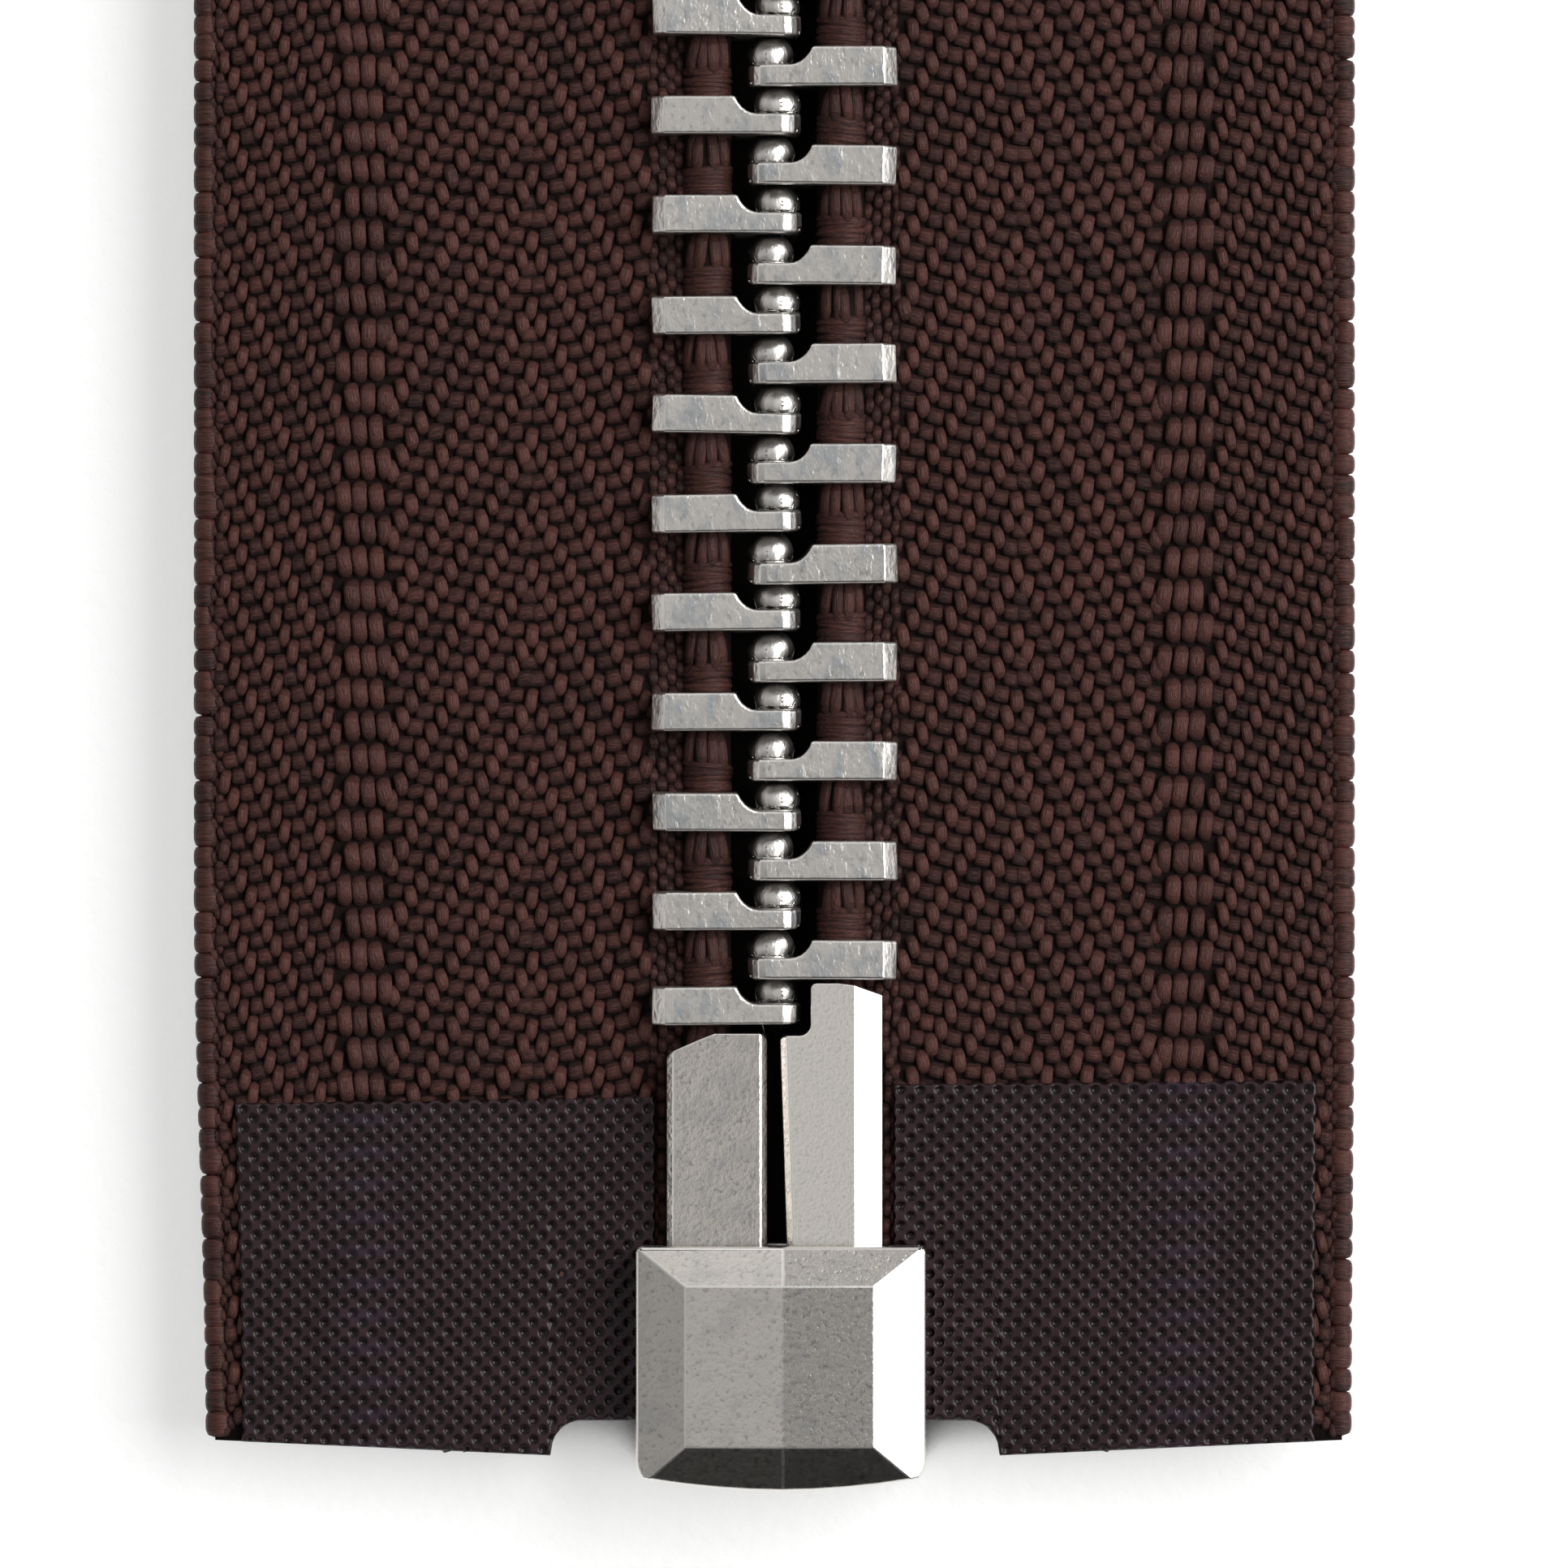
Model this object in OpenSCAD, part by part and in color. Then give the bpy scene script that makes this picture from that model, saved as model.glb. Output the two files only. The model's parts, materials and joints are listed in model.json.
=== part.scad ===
// A metal-tooth separating zipper, closed, lying flat. +X runs across the tapes, +Y along the chain
// from the retainer box to the top stops, and +Z points up from the surface it lies on.

/* [Chain] */
// Distance between neighbouring teeth on one tape
pitch = 2.5; // [2.4:0.05:2.6]
// Number of teeth on each tape
tooth_count = 35; // [12:1:40]
// Height of the lowest left tooth above the underside of the retainer box
first_tooth_y = 12.07; // [12:0.01:12.2]
// Half of the chain's width, out to the ends of the tooth legs
chain_half_w = 3.08; // [3:0.02:3.2]
// Thickness of a tooth across the tape
tooth_t = 2.3; // [2.2:0.05:2.4]
// Length of a tooth's legs along the chain
leg_l = 0.98; // [0.9:0.02:1]
// How far a tooth's head reaches past the centre line
head_reach = 0.67; // [0.6:0.01:0.7]

/* [Tape] */
// Distance from the centre line to the tape's outer edge
tape_half_w = 14.65; // [13:0.05:16]
// Thickness of the woven tape
tape_t = 0.6; // [0.5:0.05:0.65]
// Radius of the bead woven along the tape's inner edge
bead_r = 0.7; // [0.65:0.01:0.7]
// Radius of the core cord inside the bead
cord_r = 0.42; // [0.3:0.02:0.45]
// Distance from the centre line to the middle of the bead
bead_x = 1.7; // [1.68:0.01:1.75]
// Length of plain tape above the top stops
tail_l = 13; // [8:1:25]
// Width of the raised guide rib
rib_w = 1.3; // [1:0.1:1.6]
// Distance from the centre line to the middle of the guide rib
rib_x = 10.35; // [9:0.05:11]
// Height of the guide rib above the tape's face
rib_h = 0.08; // [0.05:0.01:0.12]

/* [Film] */
// Thickness of the reinforcing film on each face of the tape's end
film_t = 0.1; // [0.08:0.01:0.12]
// Height of the film's upper edge above the underside of the retainer box
film_top_y = 10; // [8:0.1:11]
// Width of tape left bare outside the film
film_margin = 1.05; // [0.5:0.05:2]

/* [Box and pins] */
// Width of the retainer box
box_w = 7.3; // [7.2:0.05:7.6]
// Length of the retainer box along the chain
box_l = 6.14; // [5.8:0.02:6.2]
// Thickness of the retainer box
box_t = 4.1; // [4:0.05:4.4]
// Sideways offset of the retainer box from the centre line
box_x = 0.16; // [0.1:0.01:0.2]
// Height of the box pin's top above the underside of the retainer box
box_pin_y = 11.48; // [11:0.02:11.5]
// Height of the insertion pin's shoulder above the underside of the retainer box
shoulder_y = 11.42; // [11:0.02:11.5]
// Height of the insertion pin's post above the underside of the retainer box
post_y = 12.74; // [12.4:0.02:12.76]

/* [Slider] */
// Length of the slider's plates
slider_l = 11.5; // [11.4:0.1:12]
// Thickness of each slider plate
plate_t = 0.8; // [0.7:0.05:0.9]
// Sideways push that the slider's diamond gives each row of teeth
splay = 1.62; // [1.6:0.01:1.7]
// Gap between a slider face and the teeth or pins
running_gap = 0.1; // [0.08:0.01:0.12]
// Height of the slot for the tape between the slider's flanges
slot_t = 1.1; // [1:0.05:1.2]
// Height of the cover above the slider's upper plate
cover_h = 2.75; // [2.7:0.05:3]
// Width of the cover
cover_w = 2.7; // [2.6:0.05:2.8]

/* [Pull tab] */
// Length of the pull tab from its pivot to its tip
pull_l = 26; // [20:1:32]
// Width of the pull tab at its widest
pull_w = 6; // [5.4:0.1:7]
// Radius of the pull tab's round cross bar
pull_bar_r = 0.55; // [0.5:0.01:0.56]
// Radius of the hole near the pull tab's tip
pull_hole_r = 1.5; // [1.2:0.05:1.8]

/* [Hidden] */
$fn = 48;
eps = 0.02;

// Finishes
nickel = [0.66, 0.63, 0.60];
nickel_dark = [0.55, 0.53, 0.51];
weave = [0.24, 0.15, 0.13];
cord_tone = [0.20, 0.12, 0.10];
film_tone = [0.26, 0.22, 0.25];
spring_steel = [0.45, 0.46, 0.48];

// Heights along the chain
right_first_y = first_tooth_y + pitch / 2;
left_split_y = (box_pin_y + first_tooth_y - leg_l / 2) / 2;
right_split_y = (post_y + right_first_y - leg_l / 2) / 2;
last_tooth_y = right_first_y + (tooth_count - 1) * pitch;
slider_y = last_tooth_y - slider_l + 1.2;
mouth_y = slider_y + slider_l;
stop_l = 2.3;
stop_y = mouth_y + running_gap + stop_l / 2;
tape_top_y = stop_y + stop_l / 2 + tail_l;
half_z = box_t / 2;

// The slider's diamond and the S-bend that it gives each stringer
bend_y = slider_y;
bend_r = 15;
bend_a = atan(7 / 24);
link_l = (splay - 2 * bend_r * (1 - cos(bend_a))) / sin(bend_a);
arc_x = bend_r * (1 - cos(bend_a));
arc_y = bend_r * sin(bend_a);
arc_l = bend_r * bend_a * PI / 180;
bend_l = 2 * arc_y + link_l * cos(bend_a);
diamond_tip_y = 5.7;
diamond_half_w = bead_x - bead_r - running_gap - 0.05;
diamond_tip_r = 0.25;

// Tooth
leg_outer = chain_half_w - bead_x;
head_tip = head_reach + bead_x;
head_top = 0.04;
step_start = bead_r + 0.05;
step_end = bead_x - 0.4;
nub_r = 0.58;
nub_top = 0.86;
nub_offset = 0.08;
nub_gap = 0.06;

// Sockets that the teeth, pins and stops clamp on, and the sides of the swept bead and cord
clamp_gap = 0.02;
bead_sides = 16;
cord_sides = 12;

// Places along the path of the left bead, at chain distance d: [x, y, turn]
function path_at(d) =
    let (u = d - bend_y, w = 2 * arc_l + link_l - u)
    u <= 0 ? [-bead_x, d, 0]
    : u <= arc_l ? let (a = u / arc_l * bend_a)
        [-bead_x - bend_r * (1 - cos(a)), bend_y + bend_r * sin(a), a]
    : w >= arc_l ?
        [-bead_x - arc_x - (u - arc_l) * sin(bend_a), bend_y + arc_y + (u - arc_l) * cos(bend_a), bend_a]
    : w >= 0 ? let (a = w / arc_l * bend_a)
        [-bead_x - splay + bend_r * (1 - cos(a)), bend_y + bend_l - bend_r * sin(a), a]
    : [-bead_x - splay, bend_y + bend_l - w, 0];

// Outward shift of the tape at height y: an arc, a straight link and the arc back
function shift_at(y) =
    let (v = y - bend_y, w = bend_l - v)
    v <= 0 ? 0
    : v <= arc_y ? bend_r - sqrt(bend_r * bend_r - v * v)
    : w >= arc_y ? arc_x + (v - arc_y) * tan(bend_a)
    : w >= 0 ? splay - bend_r + sqrt(bend_r * bend_r - w * w)
    : splay;

// Heights at which a tape edge is drawn between y0 and y1
function edge_heights(y0, y1) =
    [y0, for (i = [0:12]) let (y = bend_y + bend_l * i / 12) if (y > y0 + eps && y < y1 - eps) y, y1];

// Cosine step from a to b as t runs from 0 to 1
function ease(a, b, t) = a + (b - a) * (1 - cos(180 * t)) / 2;

// Moves a piece from the drawing frame to the part's frame
module placed() {
    translate([0, -tape_top_y / 2, half_z]) children();
}

module mirrored(right) {
    mirror([right ? 1 : 0, 0, 0]) children();
}

// A bar along Y with the given profile in X and Z
module along_y(y0, y1) {
    translate([0, y1, 0]) rotate([90, 0, 0]) linear_extrude(y1 - y0) children();
}

// A bar along X with the given profile in Y and Z
module along_x(x0, x1) {
    translate([x0, 0, 0]) rotate([90, 0, 90]) linear_extrude(x1 - x0) children();
}

// A rectangle with round corners, its lower left corner at the origin
module round_rect(w, h, r) {
    translate([r, 0]) square([w - 2 * r, h]);
    translate([0, r]) square([w, h - 2 * r]);
    for (x = [r, w - r], y = [r, h - r]) translate([x, y]) circle(r);
}

// ---- Stringers: tape, bead, cord, teeth and stops ----

// A round strand swept along the left bead's path, with a ring of points at each step of the bend
module strand(r, sides, y0, y1) {
    steps = 12;
    run = 2 * arc_l + link_l;
    stations = [y0, for (i = [0:steps]) bend_y + run * i / steps, y1 + run - bend_l];
    rings = len(stations);
    points = [for (d = stations) let (p = path_at(d)) for (k = [0:sides - 1])
        let (a = 360 * k / sides, out = r * cos(a))
        [p[0] + out * cos(p[2]), p[1] + out * sin(p[2]), r * sin(a)]];
    walls = [for (j = [0:rings - 2]) for (k = [0:sides - 1]) let (n = (k + 1) % sides)
        [j * sides + k, j * sides + n, (j + 1) * sides + n, (j + 1) * sides + k]];
    ends = [[for (k = [sides - 1:-1:0]) k], [for (k = [0:sides - 1]) (rings - 1) * sides + k]];
    polyhedron(points, concat(ends, walls));
}

// A flat strip of the left tape between two distances from the centre line
module tape_strip(inner, outer, y0, y1) {
    ys = edge_heights(y0, y1);
    n = len(ys);
    polygon([for (y = ys) [-inner - shift_at(y), y],
             for (i = [n - 1:-1:0]) [-outer - shift_at(ys[i]), ys[i]]]);
}

module tape(split_y) {
    color(weave) difference() {
        union() {
            translate([0, 0, -tape_t / 2]) linear_extrude(tape_t)
                tape_strip(bead_x, tape_half_w, split_y, tape_top_y);
            translate([0, 0, -tape_t / 2 - rib_h]) linear_extrude(tape_t + 2 * rib_h)
                tape_strip(rib_x - rib_w / 2, rib_x + rib_w / 2, split_y, tape_top_y);
            strand(bead_r, bead_sides, split_y, tape_top_y);
        }
        strand(cord_r + clamp_gap / 2, cord_sides, split_y - eps, tape_top_y + eps);
    }
}

module cord(split_y) {
    color(cord_tone) strand(cord_r, cord_sides, split_y, tape_top_y);
}

// Outline of a tooth seen from above, its bead at the origin and its head towards +X
module tooth_plan() {
    tip_round = 0.2;
    step_turn = 65;
    run = (step_end - step_start) / sin(step_turn);
    rise = (leg_l / 2 - head_top) / (1 - cos(step_turn));
    polygon([[-leg_outer, -leg_l / 2],
             for (a = [-90:22.5:0]) [head_tip - tip_round + tip_round * cos(a),
                                     -leg_l / 2 + tip_round + tip_round * sin(a)],
             [head_tip, head_top],
             for (a = [0:13:step_turn]) [step_end - run * sin(a), head_top + rise * (1 - cos(a))],
             [-leg_outer, leg_l / 2]]);
}

// Outline of a tooth seen from the side, across the tape
module tooth_side() {
    half = tooth_t / 2;
    bevel = 0.33;
    tip_run = 0.45;
    upper = [[-leg_outer, half - bevel], [-leg_outer + bevel, half], [head_tip - tip_run, half],
             for (a = [67.5:-22.5:22.5]) [head_tip - tip_run + tip_run * cos(a),
                                          half * 0.35 + half * 0.65 * sin(a)],
             [head_tip, half * 0.35]];
    n = len(upper);
    polygon([for (p = upper) p, for (i = [n - 1:-1:0]) [upper[i][0], -upper[i][1]]]);
}

// The socket in which a tooth, pin or stop holds the tape's beaded edge
module bead_socket(y0, y1) {
    reach = 5;
    rotate([-90, 0, 0]) translate([0, 0, y0]) cylinder(r = bead_r + clamp_gap, h = y1 - y0);
    translate([-reach, y0, -tape_t / 2 - clamp_gap]) cube([reach, y1 - y0, tape_t + 2 * clamp_gap]);
}

// One tooth: legs that clamp the bead, a head with a nub above and a dimple below
module tooth() {
    difference() {
        union() {
            intersection() {
                translate([0, 0, -tooth_t / 2]) linear_extrude(tooth_t) tooth_plan();
                along_y(-leg_l, leg_l) tooth_side();
            }
            translate([bead_x + nub_offset, nub_top - nub_r, 0]) sphere(nub_r);
        }
        translate([bead_x - nub_offset, nub_top - nub_r - pitch / 2, 0]) sphere(nub_r + nub_gap);
        bead_socket(-leg_l, leg_l);
    }
}

module teeth(first_y) {
    color(nickel) for (i = [0:tooth_count - 1]) {
        p = path_at(first_y + i * pitch);
        translate([p[0], p[1], 0]) rotate([0, 0, p[2]]) tooth();
    }
}

// A stop: a short U of metal clamped over the bead, too thick to enter the slider
module top_stop() {
    stop_t = 2.9;
    stop_inner = bead_r + 0.45;
    stop_outer = leg_outer + 0.3;
    stop_round = 0.5;
    stop_w = stop_inner + stop_outer;
    color(nickel) translate([-bead_x - splay, stop_y, 0]) difference() {
        intersection() {
            translate([-stop_outer, stop_l / 2, 0]) rotate([90, 0, 0]) translate([0, -stop_t / 2, 0])
                linear_extrude(stop_l) round_rect(stop_w, stop_t, stop_round);
            translate([-stop_outer, -stop_l / 2, -stop_t]) linear_extrude(2 * stop_t)
                round_rect(stop_w, stop_l, stop_round);
        }
        bead_socket(-stop_l, stop_l);
    }
}

// ---- Lower end: tape ends, films, pins and retainer box ----

notch_x = 4.9;
notch_y = 1.7;
notch_r = 0.8;
foot_outer_y = 1.2;
foot_inner_y = 0.82;
foot_corner_x = tape_half_w - 0.3;

// Outline of the left tape's end, from an inner to an outer distance and up to a height
module foot_plan(inner, outer, top_y) {
    corner = min(outer, foot_corner_x);
    slope = (foot_outer_y - foot_inner_y) / (foot_corner_x - notch_x - notch_r);
    polygon([[-inner, notch_y], [-inner, top_y], [-outer, top_y],
             [-corner, foot_inner_y + slope * (corner - notch_x - notch_r)],
             for (a = [0:15:90]) [-notch_x - notch_r * cos(a),
                                  foot_inner_y + (notch_y - foot_inner_y) * sin(a)]]);
}

module tape_foot(split_y) {
    color(weave) {
        translate([0, 0, -tape_t / 2]) linear_extrude(tape_t) foot_plan(bead_x, tape_half_w, split_y);
        translate([-bead_x, notch_y, 0]) rotate([-90, 0, 0]) cylinder(r = bead_r, h = split_y - notch_y);
    }
}

// A film bonded to the front (side = 1) or back (side = -1) of the tape's end
module film(side) {
    film_inner = 2.9;
    color(film_tone) translate([0, 0, side > 0 ? tape_t / 2 : -tape_t / 2 - film_t]) linear_extrude(film_t)
        foot_plan(film_inner, tape_half_w - film_margin, film_top_y);
}

pin_base_y = 1.15;
box_pin_x = [-2.71, -0.18];
ins_pin_x = [0.46, 2.73];
ins_top_x = 0.14;
post_x = 0.92;

// Side bevels of a pin between x0 and x1, each with a width and a depth
module pin_profile(x0, x1, w0, w1, d0, d1) {
    half = tooth_t / 2;
    polygon([[x0, -half + d0], [x0, half - d0], [x0 + w0, half], [x1 - w1, half],
             [x1, half - d1], [x1, -half + d1], [x1 - w1, -half], [x0 + w0, -half]]);
}

module box_pin() {
    x0 = box_pin_x[0];
    x1 = box_pin_x[1];
    top_round = 0.2;
    color(nickel) placed() difference() {
        intersection() {
            translate([0, 0, -tooth_t / 2]) linear_extrude(tooth_t)
                polygon([[x0, pin_base_y], [x1, pin_base_y],
                         for (a = [0:30:90]) [x1 - top_round * (1 - cos(a)),
                                              box_pin_y - top_round * (1 - sin(a))],
                         [x0 + 1.2, box_pin_y], [x0 + 0.8, box_pin_y - 0.16],
                         [x0 + 0.1, box_pin_y - 0.47], [x0, box_pin_y - 0.6]]);
            along_y(pin_base_y, box_pin_y) pin_profile(x0, x1, 0.18, 0.16, 0.2, 0.2);
        }
        translate([-bead_x, 0, 0]) bead_socket(notch_y - clamp_gap, box_pin_y + eps);
    }
}

module insertion_pin() {
    x1 = ins_pin_x[1];
    lean = atan((ins_pin_x[0] - ins_top_x) / (shoulder_y - pin_base_y));
    corner = 0.14;
    fillet = 0.28;
    outer_bevel = 0.7;
    tip_cut = 0.5;
    color(nickel) placed() difference() {
        intersection() {
            translate([0, 0, -tooth_t / 2]) linear_extrude(tooth_t)
                polygon([[ins_pin_x[0] + tip_cut, pin_base_y], [x1 - tip_cut, pin_base_y],
                         [x1, pin_base_y + tip_cut], [x1, post_y - 0.3], [x1 - outer_bevel, post_y - 0.05],
                         [x1 - 1.1, post_y],
                         for (a = [90:30:180]) [post_x + corner + corner * cos(a),
                                                post_y - corner + corner * sin(a)],
                         for (a = [0:-22.5:-90]) [post_x - fillet + fillet * cos(a),
                                                  shoulder_y + fillet + fillet * sin(a)],
                         for (a = [90:30:180]) [ins_top_x + corner + corner * cos(a),
                                                shoulder_y - corner + corner * sin(a)],
                         [ins_pin_x[0], pin_base_y + tip_cut]]);
            along_y(pin_base_y, post_y) pin_profile(-x1, x1, 0.1, outer_bevel, 0.1, 0.42);
            translate([ins_top_x, shoulder_y, 0]) rotate([0, 0, lean])
                along_y(-shoulder_y, post_y) pin_profile(0, 3 * x1, 0.18, 0.1, 0.2, 0.1);
        }
        mirror([1, 0, 0]) translate([-bead_x, 0, 0]) bead_socket(notch_y - clamp_gap, post_y + eps);
    }
}

// The retainer box: facets slope from a ridged front panel to a thin rim round the pin sockets,
// and the ridge runs on through the facets at both ends
module retainer_box() {
    x0 = box_x - box_w / 2;
    x1 = box_x + box_w / 2;
    rim_z = 1.38;
    back_rim_z = 1.7;
    side_run = [1.26, 1.32];
    end_run = [1.12, 1];
    ridge_tilt = 4;
    ridge_x = 0.22;
    back_run = 0.35;
    foot_round = 0.8;
    foot_bow_r = 20;
    top_round = 0.2;
    rise = [half_z - (ridge_x - x0 - side_run[0]) * tan(ridge_tilt) - rim_z,
            half_z - (x1 - side_run[1] - ridge_x) * tan(ridge_tilt) - rim_z];
    end_rim_z = rim_z - half_z + (ridge_x - x0) * tan(ridge_tilt);
    socket_z = tooth_t / 2 + 0.05;
    socket_x = [box_pin_x[0] - 0.05, ins_pin_x[1] + 0.12];
    tape_slot = tape_t / 2 + film_t + 0.15;

    // The panel and both end facets as they fall away to one side of the ridge
    module ridge_slope(tilt) {
        translate([ridge_x, 0, half_z]) rotate([0, tilt, 0]) along_x(-box_w, box_w)
            polygon([[0, -2 * box_t], [box_l, -2 * box_t], [box_l, end_rim_z],
                     [box_l - end_run[1], 0], [end_run[0], 0], [0, end_rim_z]]);
    }

    color(nickel_dark) placed() difference() {
        intersection() {
            along_y(0, box_l)
                polygon([[x0, -back_rim_z], [x0 + back_run, -half_z], [x1 - back_run, -half_z],
                         [x1, -back_rim_z], [x1, rim_z], [x1 - 2 * side_run[1], rim_z + 2 * rise[1]],
                         [x0 + 2 * side_run[0], rim_z + 2 * rise[0]], [x0, rim_z]]);
            along_x(x0, x1)
                polygon([[0, -back_rim_z], [back_run, -half_z], [box_l - back_run, -half_z],
                         [box_l, -back_rim_z], [box_l, box_t], [0, box_t]]);
            ridge_slope(-ridge_tilt);
            ridge_slope(ridge_tilt);
            translate([x0, 0, -half_z]) linear_extrude(box_t) intersection() {
                union() {
                    translate([foot_round, 0]) square([box_w - 2 * foot_round, box_l]);
                    translate([0, foot_round]) square([box_w, box_l - foot_round - top_round]);
                    for (x = [foot_round, box_w - foot_round]) translate([x, foot_round])
                        circle(foot_round);
                    translate([top_round, box_l / 2]) square([box_w - 2 * top_round, box_l / 2]);
                    for (x = [top_round, box_w - top_round]) translate([x, box_l - top_round])
                        circle(top_round);
                }
                translate([box_w / 2, foot_bow_r]) circle(foot_bow_r, $fn = 180);
            }
        }
        translate([socket_x[0], pin_base_y, -socket_z])
            cube([socket_x[1] - socket_x[0], box_l, 2 * socket_z]);
        translate([x0 - eps, notch_y - 0.05, -tape_slot]) cube([box_w + 2 * eps, box_l, 2 * tape_slot]);
    }
}

// ---- Slider ----

channel_z = tooth_t / 2 + running_gap;
tail_half_w = chain_half_w + 0.17;
mouth_half_w = chain_half_w + splay + 0.25;
flange_w = 0.62;
pivot_y = slider_y + 5.6;
pivot_z = channel_z + plate_t + pull_bar_r + running_gap;
cover_half_l = 3.3;
cover_t = 0.62;
lock_x = -1;
lock_w = 0.5;
lock_y = pivot_y - 2.2;
lock_l = 0.42;
leaf_t = 0.2;
leaf_z = pivot_z + pull_bar_r + 0.03;

// Half width of the slider's channel at height v above its tail
function channel_half(v) = ease(tail_half_w, mouth_half_w, min(1, max(0, v / 10)));

// Outline of the slider's plates, which flare from the tail to the two shoulders
module plate_plan() {
    tail_round = 0.9;
    shoulder_round = 1.5;
    tail_w = tail_half_w + flange_w;
    mouth_w = mouth_half_w + flange_w;
    half = [for (a = [-90:18:0]) [tail_w - tail_round + tail_round * cos(a),
                                  tail_round + tail_round * sin(a)],
            for (i = [2:8]) [channel_half(i) + flange_w, i],
            for (a = [0:15:75]) [mouth_w - shoulder_round + shoulder_round * cos(a),
                                 slider_l - shoulder_round + shoulder_round * sin(a)],
            [diamond_half_w + 1.2, slider_l], [diamond_half_w, slider_l - 0.35]];
    n = len(half);
    polygon([for (p = half) p, for (i = [n - 1:-1:0]) [-half[i][0], half[i][1]]]);
}

// The passage that the two rows of teeth share at the tail and part into at the mouth
module channel_plan() {
    half = [for (i = [-1:12]) [channel_half(i), i]];
    n = len(half);
    polygon([for (p = half) p, for (i = [n - 1:-1:0]) [-half[i][0], half[i][1]]]);
}

// The diamond that parts the two rows of teeth
module diamond_plan() {
    r = diamond_tip_r;
    translate([0, diamond_tip_y + r]) circle(r);
    polygon([[-r, diamond_tip_y + r], [r, diamond_tip_y + r], [diamond_half_w, diamond_tip_y + 3],
             [diamond_half_w, slider_l - 0.4], [-diamond_half_w, slider_l - 0.4],
             [-diamond_half_w, diamond_tip_y + 3]]);
}

// One plate with its flanges, above the channel; the lower plate is its mirror image
module slider_plate() {
    edge_t = 0.25;
    middle = slider_l / 2;
    translate([0, 0, channel_z]) linear_extrude(plate_t - edge_t) plate_plan();
    translate([0, middle, channel_z + plate_t - edge_t]) linear_extrude(edge_t, scale = 0.95)
        translate([0, -middle]) plate_plan();
    translate([0, 0, slot_t / 2]) linear_extrude(channel_z - slot_t / 2) difference() {
        plate_plan();
        channel_plan();
    }
}

module slider_body() {
    color(nickel_dark) placed() difference() {
        translate([0, slider_y, 0]) {
            slider_plate();
            mirror([0, 0, 1]) slider_plate();
            translate([0, 0, -channel_z]) linear_extrude(2 * channel_z) diamond_plan();
        }
        translate([lock_x - lock_w / 2 - 0.15, lock_y - lock_l / 2 - 0.15, channel_z - eps])
            cube([lock_w + 0.3, lock_l + 0.3, plate_t + 2 * eps]);
    }
}

// The cover: a bridge on the upper plate that holds the pull tab's bar and the lock spring
module slider_cover() {
    base_z = channel_z + plate_t;
    outer_round = 1.2;
    inner_round = 0.6;
    color(nickel) placed() translate([0, pivot_y, base_z]) along_x(-cover_w / 2, cover_w / 2) difference() {
        union() {
            translate([-cover_half_l, 0]) square([2 * cover_half_l, cover_h - outer_round]);
            translate([outer_round - cover_half_l, 0]) square([2 * (cover_half_l - outer_round), cover_h]);
            for (side = [-1, 1]) translate([side * (cover_half_l - outer_round), cover_h - outer_round])
                circle(outer_round);
        }
        translate([cover_t - cover_half_l, -eps])
            square([2 * (cover_half_l - cover_t), cover_h - cover_t - inner_round]);
        translate([cover_t + inner_round - cover_half_l, -eps])
            square([2 * (cover_half_l - cover_t - inner_round), cover_h - cover_t]);
        for (side = [-1, 1])
            translate([side * (cover_half_l - cover_t - inner_round), cover_h - cover_t - inner_round])
                circle(inner_round);
    }
}

// The lock spring: a leaf over the pull tab's bar whose tip drops between two teeth
module lock_spring() {
    front_y = 1.9;
    base_z = channel_z + plate_t;
    tip_z = bead_r + 0.15;
    color(spring_steel) placed() translate([0, pivot_y, 0]) {
        translate([lock_x - lock_w / 2, lock_y - pivot_y - lock_l / 2, leaf_z])
            cube([2 * abs(lock_x) + lock_w, front_y - lock_y + pivot_y + lock_l / 2, leaf_t]);
        translate([lock_x - lock_w / 2, lock_y - pivot_y - lock_l / 2, tip_z])
            cube([lock_w, lock_l, leaf_z - tip_z + leaf_t / 2]);
        translate([lock_x - lock_w / 2, front_y - leaf_t, base_z])
            cube([2 * abs(lock_x) + lock_w, leaf_t, leaf_z - base_z + leaf_t / 2]);
    }
}

// The pull tab: an eye round the cover, a waisted blade and a round hole near the tip
module pull_tab() {
    eye_half_w = cover_w / 2 + 0.15;
    arm_w = 1.05;
    eye_l = cover_half_l + 0.45;
    eye_w = 2 * (eye_half_w + arm_w);
    neck_y = eye_l + 2.2;
    hole_y = pull_l - 3.4;
    tip_round = 2.2;
    pull_t = 2 * pull_bar_r;
    color(nickel) placed() translate([0, pivot_y, pivot_z]) rotate([0, 0, 180]) {
        difference() {
            translate([0, 0, -pull_bar_r]) linear_extrude(pull_t) difference() {
                union() {
                    translate([-eye_w / 2, 0]) square([eye_w, neck_y]);
                    polygon([[-eye_w / 2, neck_y - eps], [eye_w / 2, neck_y - eps],
                             [pull_w / 2, pull_l - tip_round - 1], [pull_w / 2, pull_l - tip_round],
                             [-pull_w / 2, pull_l - tip_round], [-pull_w / 2, pull_l - tip_round - 1]]);
                    translate([tip_round - pull_w / 2, pull_l - tip_round])
                        square([pull_w - 2 * tip_round, tip_round]);
                    for (side = [-1, 1])
                        translate([side * (pull_w / 2 - tip_round), pull_l - tip_round]) circle(tip_round);
                }
                translate([-eye_half_w, -eps]) square([2 * eye_half_w, eye_l]);
            }
            translate([0, hole_y, -pull_t]) cylinder(r = pull_hole_r, h = 2 * pull_t);
        }
        translate([-eye_w / 2, 0, 0]) rotate([0, 90, 0]) cylinder(r = pull_bar_r, h = eye_w);
    }
}

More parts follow.
